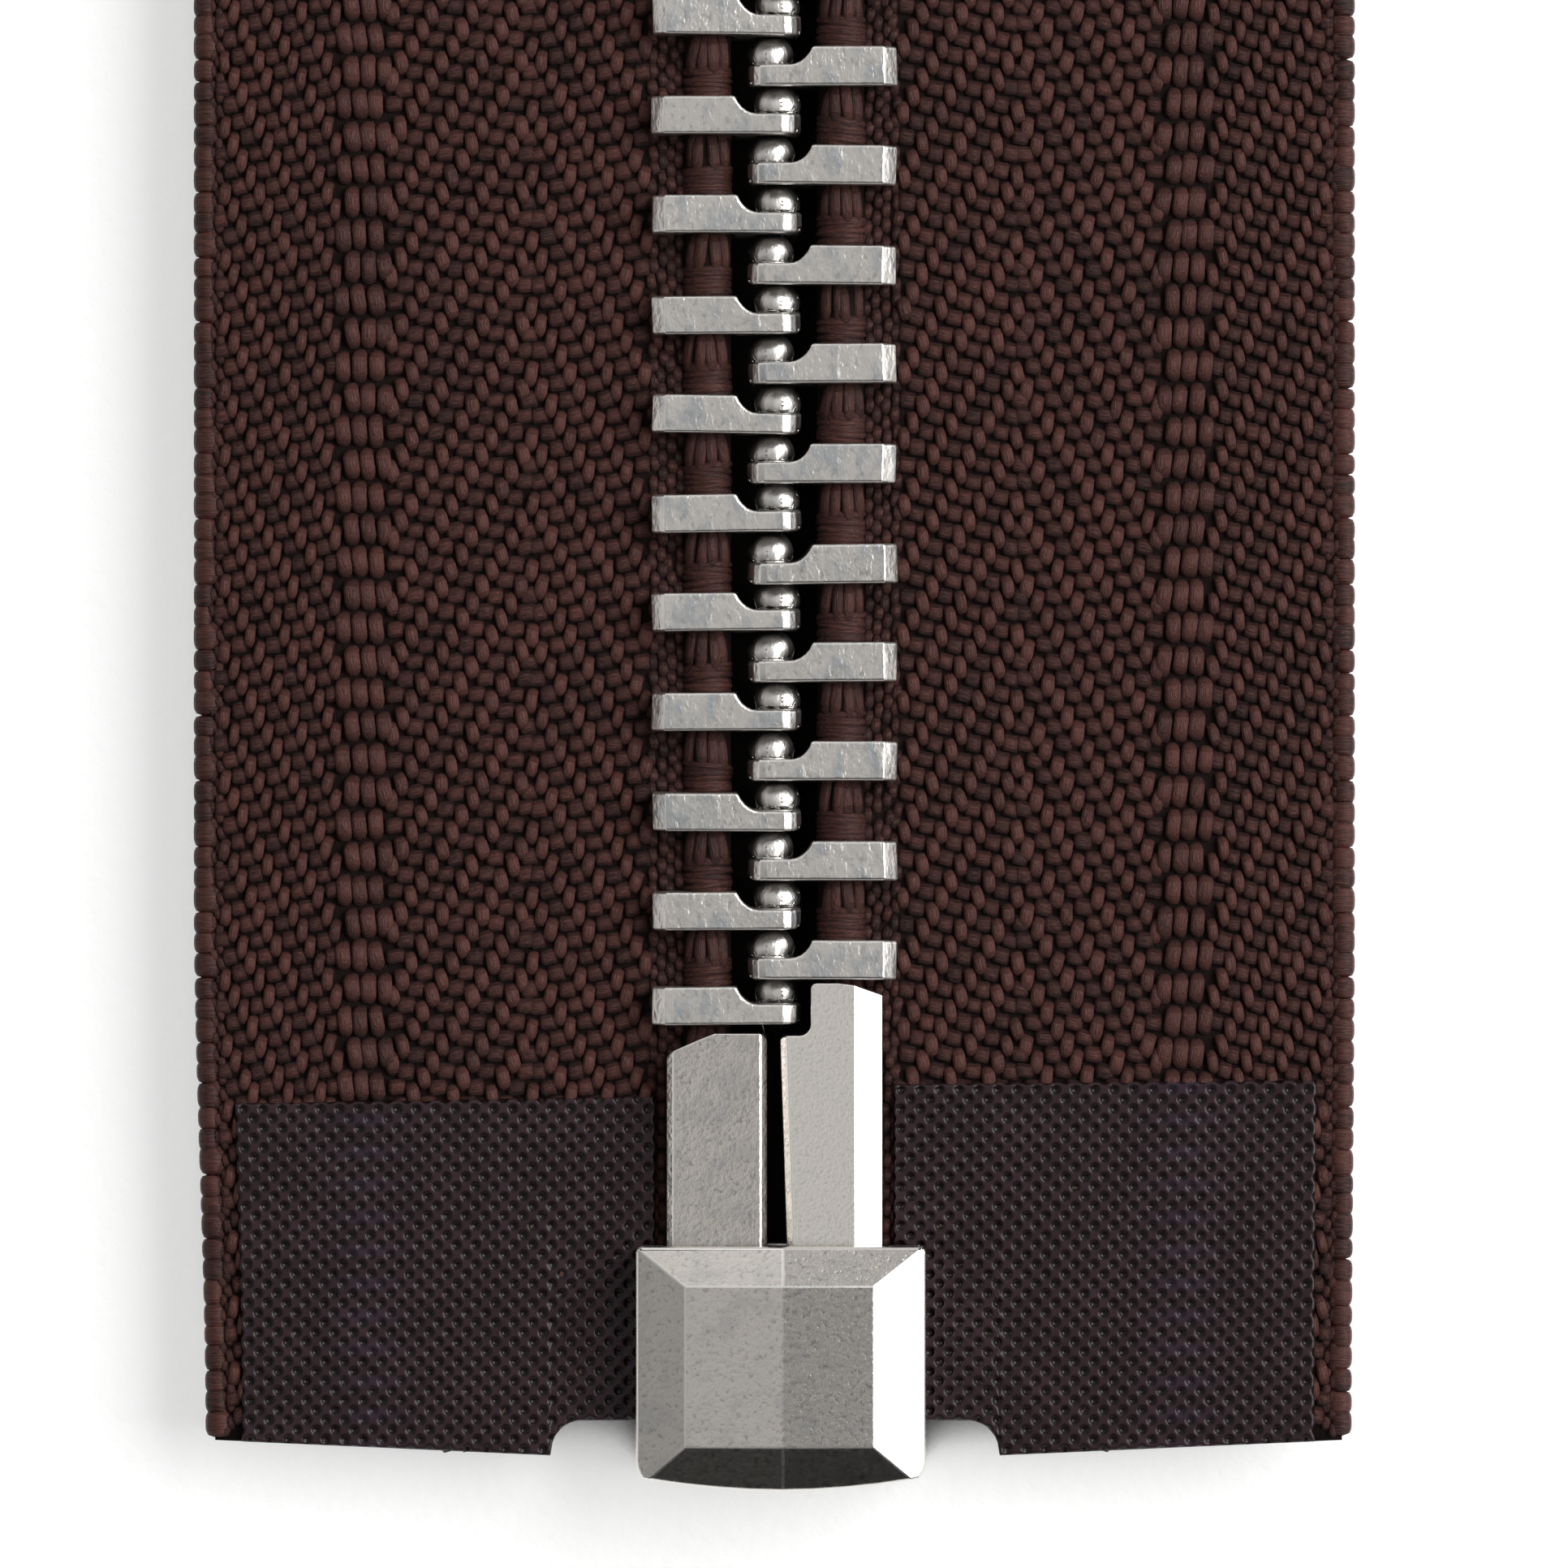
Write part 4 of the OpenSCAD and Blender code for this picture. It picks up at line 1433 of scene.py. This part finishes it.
    def _cord_end(self, top: float) -> bpy.types.Object:
        """Builds the seven strands of the core cord, cut off at the tape's end.

        Args:
            top: the height of the tape's end.

        Returns:
            The strands.
        """
        sides = 10
        turns = [k * math.pi / 3 for k in range(6)]
        ring = [(self.strand_out * math.cos(turn), self.strand_out * math.sin(turn)) for turn in turns]
        points, faces, threads = [], [], []
        around = np.linspace(0, 2 * np.pi, sides, endpoint=False)
        for number, (dx, dz) in enumerate([(0.0, 0.0), *ring]):
            start = len(points)
            for reach, rise in ((self.strand_r, -0.3), (self.strand_r, 0.0), (self.strand_r * 2 / 3, 0.05)):
                for a in around:
                    x, z = reach * math.cos(a), reach * math.sin(a)
                    points.append((self.bead_out + dx + x, top + rise, dz + z))
                    threads.append((x, z, 0.3 + 0.1 * (number % 4)))
            for low in (start, start + sides):
                for k in range(sides):
                    a, b = low + k, low + (k + 1) % sides
                    faces.append([a, a + sides, b + sides, b])
            faces.append([start + 2 * sides + k for k in range(sides - 1, -1, -1)])
            faces.append([start + k for k in range(sides)])
        flat = np.array(points)
        placed = PATH.place(self.side, flat[:, 0], flat[:, 1], flat[:, 2])
        if self.side is Side.LEFT:
            faces = [face[::-1] for face in faces]
        fields = {"thread": np.array(threads)}
        return add_piece(f"{self.side.word}_cord_end", placed, faces, CORD_YARN, fields)

    def _lump_places(self, rng: np.random.Generator) -> list[tuple[float, float, float]]:
        """Works out where the outer yarn turns back: three lumps to every four rows.

        Args:
            rng: the source of random numbers.

        Returns:
            Each lump's height, how tall it is and how far it reaches inward.
        """
        period = 4 * self.row_h
        lumps = []
        for start in np.arange(self.foot_outer_y + 0.1, self.length - 0.6, period):
            for centre, tall, reach in ((0.33, 0.80, 0.33), (0.87, 0.68, 0.31), (1.38, 0.68, 0.31)):
                y = start + centre * period / self.lump_period + rng.normal(0, 0.02)
                if y + tall / 2 < self.length:
                    lumps.append((y, tall * (1 + rng.normal(0, 0.05)), reach * (1 + rng.normal(0, 0.06))))
        return lumps

    def _lumps(self) -> bpy.types.Object:
        """Builds the lumps of the outer edge, where the yarn turns back.

        Returns:
            The lumps, as one piece.
        """
        rng = np.random.default_rng(self.seed + 23)
        lumps = self._lump_places(rng)
        rings, sides = 9, 10
        along = np.linspace(-1, 1, rings)[:, None]
        angle = np.linspace(0, 2 * np.pi, sides, endpoint=False)[None]
        size = np.clip(1 - np.abs(along) ** 3.2, 0, 1) ** 0.4 + 0.02
        one = tube_quads(rings, sides)
        if self.side is Side.RIGHT:
            one = one[:, ::-1]
        across = math.ceil(math.sqrt(len(lumps)))
        points, quads, threads, cells = [], [], [], []
        for number, (y, tall, reach) in enumerate(lumps):
            out = self.half_w - reach + reach * size * np.cos(angle) + 0 * along
            high = self.lump_z * size * np.sin(angle) + 0 * along
            up = y + tall / 2 * along + 0 * angle
            points.append(PATH.place(self.side, out, up, high, self.pull).reshape(-1, 3))
            quads.append(one + number * rings * sides)
            thread = np.stack([up, 0.3 * angle + 0 * along, np.full((rings, sides), rng.random())], -1)
            threads.append(thread.reshape(-1, 3))
            u = (number % across + 0.05 + 0.9 * angle / (2 * np.pi) + 0 * along) / across
            v = (number // across + 0.05 + 0.45 * (along + 1) + 0 * angle) / across
            cells.append(np.stack([u, v], -1).reshape(-1, 2))
        return add_piece(
            f"{self.side.word}_selvedge_lumps",
            np.concatenate(points),
            np.concatenate(quads),
            DEEP_YARN,
            {"thread": np.concatenate(threads)},
            np.concatenate(cells),
        )

    def selvedge(self) -> None:
        """Builds the outer edge: its lumps, and two columns of small floats inside them."""
        self.pieces.append(self._lumps())
        out, y = self._columns(inner=14.0, gap=0.17, count=2, margin=0.25)
        small = Floats(
            out, y, length=0.42, width=0.24, crest=0.30, dive=0.14, stations=5, thick=0.11,
            seed=self.seed + 29, tone=0.35
        )
        for face in Face:
            self._add_floats(f"selvedge_{face.word}", face, [small], DEEP_YARN)

    def build(self) -> list[bpy.types.Object]:
        """Returns:
            The tape's pieces.
        """
        cloth = self.ground()
        self.weave()
        self.rib()
        self.gutter()
        self.bead()
        self.selvedge()
        word = self.side.word
        for piece in [cloth, *self.pieces]:
            bend_with(piece, self.side)
        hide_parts(f"{word}_tape", f"{word}_tape_foot")
        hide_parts(f"{word}_cord")
        size = ((self.half_w - self.bead_out) * MM, (self.length - self.foot_outer_y) * MM)
        return [cloth, *self.pieces]


def bend_with(piece: bpy.types.Object, side: Side) -> None:
    """Bakes a piece's placement into its mesh; the ends of the hinge above the pins, where its stringer
    swings, are worked out but not used.

    Args:
        piece: the piece.
        side: the half.
    """
    hinge = PATH.hinge_left if side is Side.LEFT else PATH.hinge_right
    ends = [tuple(DRAWING.to_row((side.value * PATH.bead_out, y, 0.0))) for y in hinge]
    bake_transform(piece)


# ---- Film ----


@dataclass
class FilmSkin:
    """A film bonded to one face of a tape's end, embossed with small dots.

    Its rim lies at low_z, among the yarns, and the rest at high_z, raised by rib_lift over the rib.
    pitch is the lattice of the dots, step the mesh's own and grit its unevenness.
    """

    tape: Tape
    face: Face
    top_inner: float
    top_outer: float
    inner: float = 3.0
    margin: float = 0.95
    pitch: float = 0.49
    step: float = 0.050
    low_z: float = 0.30
    high_z: float = 0.43
    dot_r: float = 0.13
    dot_deep: float = 0.05
    rib_half: float = 0.75
    rib_lift: float = 0.045
    grit: float = 0.0035

    def build(self) -> bpy.types.Object:
        """Builds the film as a fine grid pressed into dots.

        Returns:
            The film.
        """
        outer = self.tape.half_w - self.margin
        outs = np.arange(self.inner, outer + 1e-6, self.step)
        tops = np.interp(outs, [self.inner, outer], [self.top_inner, self.top_outer])
        lows = self.tape.bottom(outs)
        count = int((self.tape.film_top - 1.0) / self.step)
        share = np.linspace(0, 1, count)[:, None]
        y = lows[None] * (1 - share) + tops[None] * share
        out = np.broadcast_to(outs, y.shape)
        rng = np.random.default_rng(self.tape.seed + 41 + self.face.value)
        a, b = (out + y) / self.pitch, (out - y) / self.pitch
        gap_a, gap_b = a - np.round(a), b - np.round(b)
        far = np.sqrt(gap_a**2 + gap_b**2) * self.pitch / math.sqrt(2)
        dot = np.clip(1.25 - far / self.dot_r, 0, 1)
        dot = dot * dot * (3 - 2 * dot)
        over_rib = np.exp(-(((out - self.tape.rib_out) / self.rib_half) ** 2))
        lift = over_rib * np.clip(np.sin(2 * np.pi * y / (2 * self.tape.row_h)) * 1.6 - 0.2, 0, 1)
        rough = rng.normal(0, self.grit, y.shape)
        z = self.high_z - self.dot_deep * dot + self.rib_lift * over_rib + rough
        rows, columns = y.shape
        edge = np.ones(y.shape, bool)
        edge[1:-1, 1:-1] = False
        z = np.where(edge, self.low_z, z)
        points = PATH.place(self.tape.side, out, y, z * self.face.value, self.tape.pull).reshape(-1, 3)
        flip = self.tape.side.value * self.face.value < 0
        press = np.stack([a, b, lift], -1).reshape(-1, 3)
        cells = np.stack(np.meshgrid(np.linspace(0.01, 0.99, columns), np.linspace(0.01, 0.99, rows)), -1)
        node = f"{self.tape.side.word}_{self.face.word}_film"
        quads = grid_quads(rows, columns, flip=flip)
        skin = add_piece(f"{node}_skin", points, quads, FILM, {"press": press}, cells.reshape(-1, 2))
        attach(skin, "lower_end")
        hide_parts(node)
        return skin


# ---- Metal parts ----


@dataclass(frozen=True)
class MetalPart:
    """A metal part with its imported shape, whose edges are rounded.

    edge is how wide the sharp edges are rounded and crease the shallow ones, which turn by less than
    steep degrees. Edges that turn by less than shallow degrees are left as they are.
    """

    node: str
    name: str
    body: str
    finish: Finish
    edge: float
    crease: float = 0.03
    shallow: float = 10.0
    steep: float = 48.0

    def _edge_width(self, edge: bmesh.types.BMEdge) -> float:
        """Chooses how wide an edge is rounded.

        Args:
            edge: the edge.

        Returns:
            The width in millimetres, and 0 where the surface runs on smoothly.
        """
        turn = math.degrees(edge.calc_face_angle(0.0)) if len(edge.link_faces) == 2 else 0.0
        if turn < self.shallow:
            return 0.0
        return self.crease if turn < self.steep else self.edge

    def _rounded(self) -> bpy.types.Mesh:
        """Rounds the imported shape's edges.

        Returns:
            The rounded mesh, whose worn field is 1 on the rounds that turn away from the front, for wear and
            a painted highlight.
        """
        work = bmesh.new()
        work.from_mesh(bpy.data.objects[self.node].data)
        bmesh.ops.remove_doubles(work, verts=work.verts, dist=1e-6)
        bmesh.ops.dissolve_limit(work, angle_limit=math.radians(0.5), verts=work.verts, edges=work.edges)
        bmesh.ops.dissolve_degenerate(work, dist=2e-6, edges=work.edges)
        layer = work.edges.layers.float.new("bevel_weight_edge")
        widest = max(self.edge, self.crease)
        for edge in work.edges:
            edge[layer] = self._edge_width(edge) / widest
        rough = bpy.data.meshes.new(f"{self.name}_unrounded")
        work.to_mesh(rough)
        work.free()
        holder = bpy.data.objects.new(f"{self.name}_unrounded", rough)
        bpy.context.collection.objects.link(holder)
        for _ in range(2):
            rough.materials.append(None)
        for polygon in rough.polygons:
            polygon.material_index = 0
        bevel = holder.modifiers.new("rounding", "BEVEL")
        bevel.limit_method, bevel.width, bevel.segments = "WEIGHT", widest * MM, 3
        bevel.use_clamp_overlap, bevel.material, bevel.profile = False, 1, 0.55
        graph = bpy.context.evaluated_depsgraph_get()
        mesh = bpy.data.meshes.new_from_object(holder.evaluated_get(graph))
        bpy.data.objects.remove(holder)
        marks = np.zeros(len(mesh.polygons), np.int32)
        mesh.polygons.foreach_get("material_index", marks)
        upright = math.cos(math.radians(self.shallow + 5))
        level = np.array([polygon.normal.z > upright for polygon in mesh.polygons])
        # Partly wear and partly painted highlight: rounds that turn away from the front are marked for
        # lightening.
        worn = mesh.attributes.new("worn", "FLOAT", "FACE")
        worn.data.foreach_set("value", np.where(level, 0, marks).astype(np.float32))
        mesh.polygons.foreach_set("material_index", np.zeros_like(marks))
        mesh.name = self.name
        return mesh

    def build(self) -> bpy.types.Object:
        """Builds the part and sets it in place of its solid.

        Returns:
            The piece.
        """
        mesh = self._rounded()
        mesh.shade_smooth()
        self.finish_mesh(mesh)
        mesh.materials.clear()
        mesh.materials.append(self.finish.material())
        piece = bpy.data.objects.new(self.name, mesh)
        bpy.context.collection.objects.link(piece)
        even = piece.modifiers.new("even_faces", "WEIGHTED_NORMAL")
        even.keep_sharp = True
        self.attach(piece)
        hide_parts(self.node)
        LOG.info("%s: %d faces", self.name, len(mesh.polygons))
        return piece

    def finish_mesh(self, mesh: bpy.types.Mesh) -> None:
        """Changes the mesh before it is placed; most parts need nothing."""

    def attach(self, piece: bpy.types.Object) -> None:
        """Makes the part ride on its body."""
        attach(piece, self.body)


@dataclass(frozen=True)
class ToothRow(MetalPart):
    """A row of teeth, each sitting a little differently on its bead.

    roll, tilt and yaw are spreads in degrees, and sway is how uneven a tooth is. The lowest left tooth
    sits lift higher than its place. The nub's place is from the middle of its tooth, and nub_worn
    is how bright the painted highlight on it is.
    """

    side: Side = Side.LEFT
    first_y: float = PATH.first_left
    roll: float = 0.9
    tilt: float = 1.1
    yaw: float = 0.5
    sway: float = 0.014
    lift: float = 0.10
    nub_in: float = 1.78
    nub_up: float = 0.28
    nub_r: float = 0.62
    nub_worn: float = 0.9

    def finish_mesh(self, mesh: bpy.types.Mesh) -> None:
        """Tilts and moves each tooth slightly, and marks its nub for a painted highlight.

        Args:
            mesh: the row's mesh.
        """
        rng, count = np.random.default_rng(11 if self.side is Side.LEFT else 12), PATH.count
        flat = np.empty(3 * len(mesh.vertices))
        mesh.vertices.foreach_get("co", flat)
        points = DRAWING.from_row(flat.reshape(-1, 3))
        run = self.first_y + PATH.pitch * np.arange(count)
        centre = PATH.place(self.side, np.full(count, PATH.bead_out), run, np.zeros(count))
        number = np.abs(points[:, 1][:, None] - centre[None, :, 1]).argmin(1)
        own = points - centre[number]
        roll, tilt, yaw = (
            np.radians(rng.normal(0, spread, count))[number] for spread in (self.roll, self.tilt, self.yaw)
        )
        x, y, z = own.T
        x, z = x * np.cos(roll) + z * np.sin(roll), z * np.cos(roll) - x * np.sin(roll)
        y, z = y * np.cos(tilt) - z * np.sin(tilt), z * np.cos(tilt) + y * np.sin(tilt)
        x, y = x * np.cos(yaw) - y * np.sin(yaw), y * np.cos(yaw) + x * np.sin(yaw)
        lift = np.zeros(count)
        if self.side is Side.LEFT:
            lift[0] = self.lift
        sway = self.sway * np.sin(2.1 * points + 3.7 * points[:, [1, 2, 0]] + number[:, None])
        moved = centre[number] + np.stack([x, y + lift[number], z], 1) + sway
        mesh.vertices.foreach_set("co", DRAWING.to_row(moved).astype(np.float32).ravel())
        nub_highlit = mesh.attributes["worn"].data
        # Painted highlight: the nub's faces are marked to be lightened.
        for polygon in mesh.polygons:
            across, up, _ = own[polygon.vertices].mean(0)
            from_nub = np.hypot(across + self.side.value * self.nub_in, up - self.nub_up)
            if from_nub < self.nub_r and up > 0.02:
                nub_highlit[polygon.index].value = self.nub_worn

    def attach(self, piece: bpy.types.Object) -> None:
        """Bakes the row's placement into its mesh."""
        bend_with(piece, self.side)


# ---- Studio ----


@dataclass(frozen=True)
class Studio:
    """Floor, backdrop and light, in metres and degrees."""

    floor_r: float = 2.2
    wall_h: float = 0.7
    key_power: float = 4.2
    key_size: tuple[float, float] = (0.42, 0.50)
    key_distance: float = 0.55
    key_tilt: float = 48.0
    key_turn: float = 16.0

    def build(self) -> None:
        """Builds the floor and backdrop, and lights them."""
        steps = 64
        around = np.linspace(0, 2 * np.pi, steps, endpoint=False)
        # The floor's own rings and then the sweep up into the wall, as reach and height.
        rings = [(0.25, 0.0), (self.floor_r - 0.3, 0.0), (self.floor_r - 0.1, 0.03),
                 (self.floor_r, 0.2), (self.floor_r, self.wall_h)]
        points = [(0.0, 0.0, 0.0)]
        for reach, rise in rings:
            points += [(reach * math.cos(a), reach * math.sin(a), rise) for a in around]
        faces: list[list[int]] = [[0, 1 + k, 1 + (k + 1) % steps] for k in range(steps)]
        for low in range(1, 1 + (len(rings) - 1) * steps, steps):
            for k in range(steps):
                a, b = low + k, low + (k + 1) % steps
                faces.append([a, a + steps, b + steps, b])
        floor = add_piece("paper_floor", DRAWING.from_row(np.array(points)), faces, PAPER)
        self.key()
        self.surround()

    def key(self) -> None:
        """Adds the softbox that stands to the right."""
        tilt, turn = math.radians(self.key_tilt), math.radians(self.key_turn)
        data = bpy.data.lights.new("key_softbox", "AREA")
        data.shape, data.size, data.size_y, data.energy = "RECTANGLE", *self.key_size, self.key_power
        key = bpy.data.objects.new("key_softbox", data)
        reach = self.key_distance
        key.location = (
            reach * math.sin(tilt) * math.cos(turn),
            reach * math.sin(tilt) * math.sin(turn) - 0.02,
            reach * math.cos(tilt),
        )
        key.rotation_euler = (0.0, tilt, turn)
        key.visible_camera = False
        bpy.context.collection.objects.link(key)

    def surround(self) -> None:
        """Lights the scene from all round: bright past the zipper's upper end, dim past its lower one."""
        world = bpy.data.worlds.new("studio_surround")
        world.use_nodes = True
        graph = Graph(world.node_tree)
        way = graph.node("ShaderNodeTexCoord", output="Generated")
        across, along = way.part(0) * 0.5 + 0.5, way.part(1) * 0.5 + 0.5
        # Each stop is a place in the sky, from 0 to 1 across or along the zipper, and its brightness.
        side_stops = [(0.0, 0.75), (0.08, 0.50), (0.18, 0.38), (0.36, 0.56), (0.44, 0.68), (0.49, 0.62),
                      (0.535, 0.28), (0.60, 0.26), (0.72, 0.46), (0.86, 0.90), (1.0, 1.10)]
        end_stops = [(0.0, 0.10), (0.12, 0.05), (0.22, 0.06), (0.34, 0.60), (0.45, 1.0), (0.6, 1.0),
                     (0.75, 1.15), (0.9, 1.7), (1.0, 2.0)]
        ramps = []
        for stops, value in ((side_stops, across), (end_stops, along)):
            grey = {"stops": [(place, (level, level, level)) for place, level in stops]}
            ramps.append(graph.node("ShaderNodeValToRGB", grey, {"Fac": value}, "Color"))
        light = graph.node("ShaderNodeBackground", inputs={"Color": ramps[0] * ramps[1], "Strength": 1.0})
        graph.node("ShaderNodeOutputWorld", inputs={"Surface": light})
        bpy.context.scene.world = world


# ---- The zipper ----


@dataclass
class LowerEnd:
    """Retainer box, both pins and the films, with the widths of their rounded edges."""

    box_edge: float = 0.09
    box_crease: float = 0.04
    box_shallow: float = 3.0
    pin_edge: float = 0.05
    post_edge: float = 0.04

    def build(self, tapes: dict[Side, Tape], sight: Sight, cloths: dict[Side, bpy.types.Object]) -> None:
        """Builds the lower end.

        Args:
            tapes: the tapes by side.
            sight: places the films' upper edges from the photograph.
            cloths: the ground cloths, which carry the films.
        """
        box = (self.box_edge, self.box_crease, self.box_shallow)
        MetalPart("retainer_box", "box_casting", "lower_end", BOX_PLATE, *box).build()
        MetalPart("box_pin", "box_pin_wire", "lower_end", PIN_PLATE, self.pin_edge).build()
        MetalPart("insertion_pin", "insertion_pin_wire", "lower_end", POST_PLATE, self.post_edge).build()
        for side, tape in tapes.items():
            spots = [image_point(f"{side.word}_film_{end}") for end in ("pin_side", "corner")]
            heights = [float(sight.meet((spot.x, spot.y), [cloths[side]])[1]) for spot in spots]
            for face in Face:
                FilmSkin(tape, face, *heights).build()


@dataclass
class Slider:
    """Slider body, cover, lock spring and pull tab, with the widths of their rounded edges."""

    body_edge: float = 0.08
    cover_edge: float = 0.10
    spring_edge: float = 0.03
    tab_edge: float = 0.12

    def build(self) -> None:
        """Builds the slider's parts."""
        MetalPart("slider_body", "slider_casting", "slider", SLIDER_PLATE, self.body_edge).build()
        MetalPart("slider_cover", "cover_bridge", "slider", SLIDER_PLATE, self.cover_edge).build()
        MetalPart("lock_spring", "lock_leaf", "lock", SPRING_STEEL, self.spring_edge).build()
        MetalPart("pull_tab", "pull_plate", "pull", SLIDER_PLATE, self.tab_edge).build()


@dataclass
class Stringers:
    """Both tapes with their teeth and top stops."""

    tooth_edge: float = 0.085
    stop_edge: float = 0.08
    tapes: dict[Side, Tape] = field(default_factory=dict)
    cloths: dict[Side, bpy.types.Object] = field(default_factory=dict)

    def build(self) -> None:
        """Builds the tapes, the rows of teeth and the stops."""
        for side in Side:
            tape = Tape(side)
            self.tapes[side] = tape
            self.cloths[side] = tape.build()[0]
            word = side.word
            row = (f"{word}_teeth", f"{word}_tooth_row", side.body, TOOTH_PLATE, self.tooth_edge)
            ToothRow(*row, side=side, first_y=tape.first_tooth).build()
            stop = (f"{word}_top_stop", f"{word}_stop_clamp", side.body, TOOTH_PLATE, self.stop_edge)
            MetalPart(*stop).build()


def clear_defaults() -> None:
    """Removes what a new file starts with."""
    for name in ("Cube", "Light", "Camera"):
        if name in bpy.data.objects:
            bpy.data.objects.remove(bpy.data.objects[name])


def main() -> None:
    """Builds the camera, the studio and the zipper."""
    logging.basicConfig(level=logging.INFO, format="%(message)s")
    clear_defaults()
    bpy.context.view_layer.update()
    bpy.context.scene.view_settings.view_transform = "Standard"
    camera = PhotoCamera()
    sight = Sight(camera.build(), camera.frame_px)
    Studio().build()
    stringers = Stringers()
    stringers.build()
    LowerEnd().build(stringers.tapes, sight, stringers.cloths)
    Slider().build()
    bpy.context.view_layer.update()
    write_points(sight)


if __name__ == "__main__":
    main()
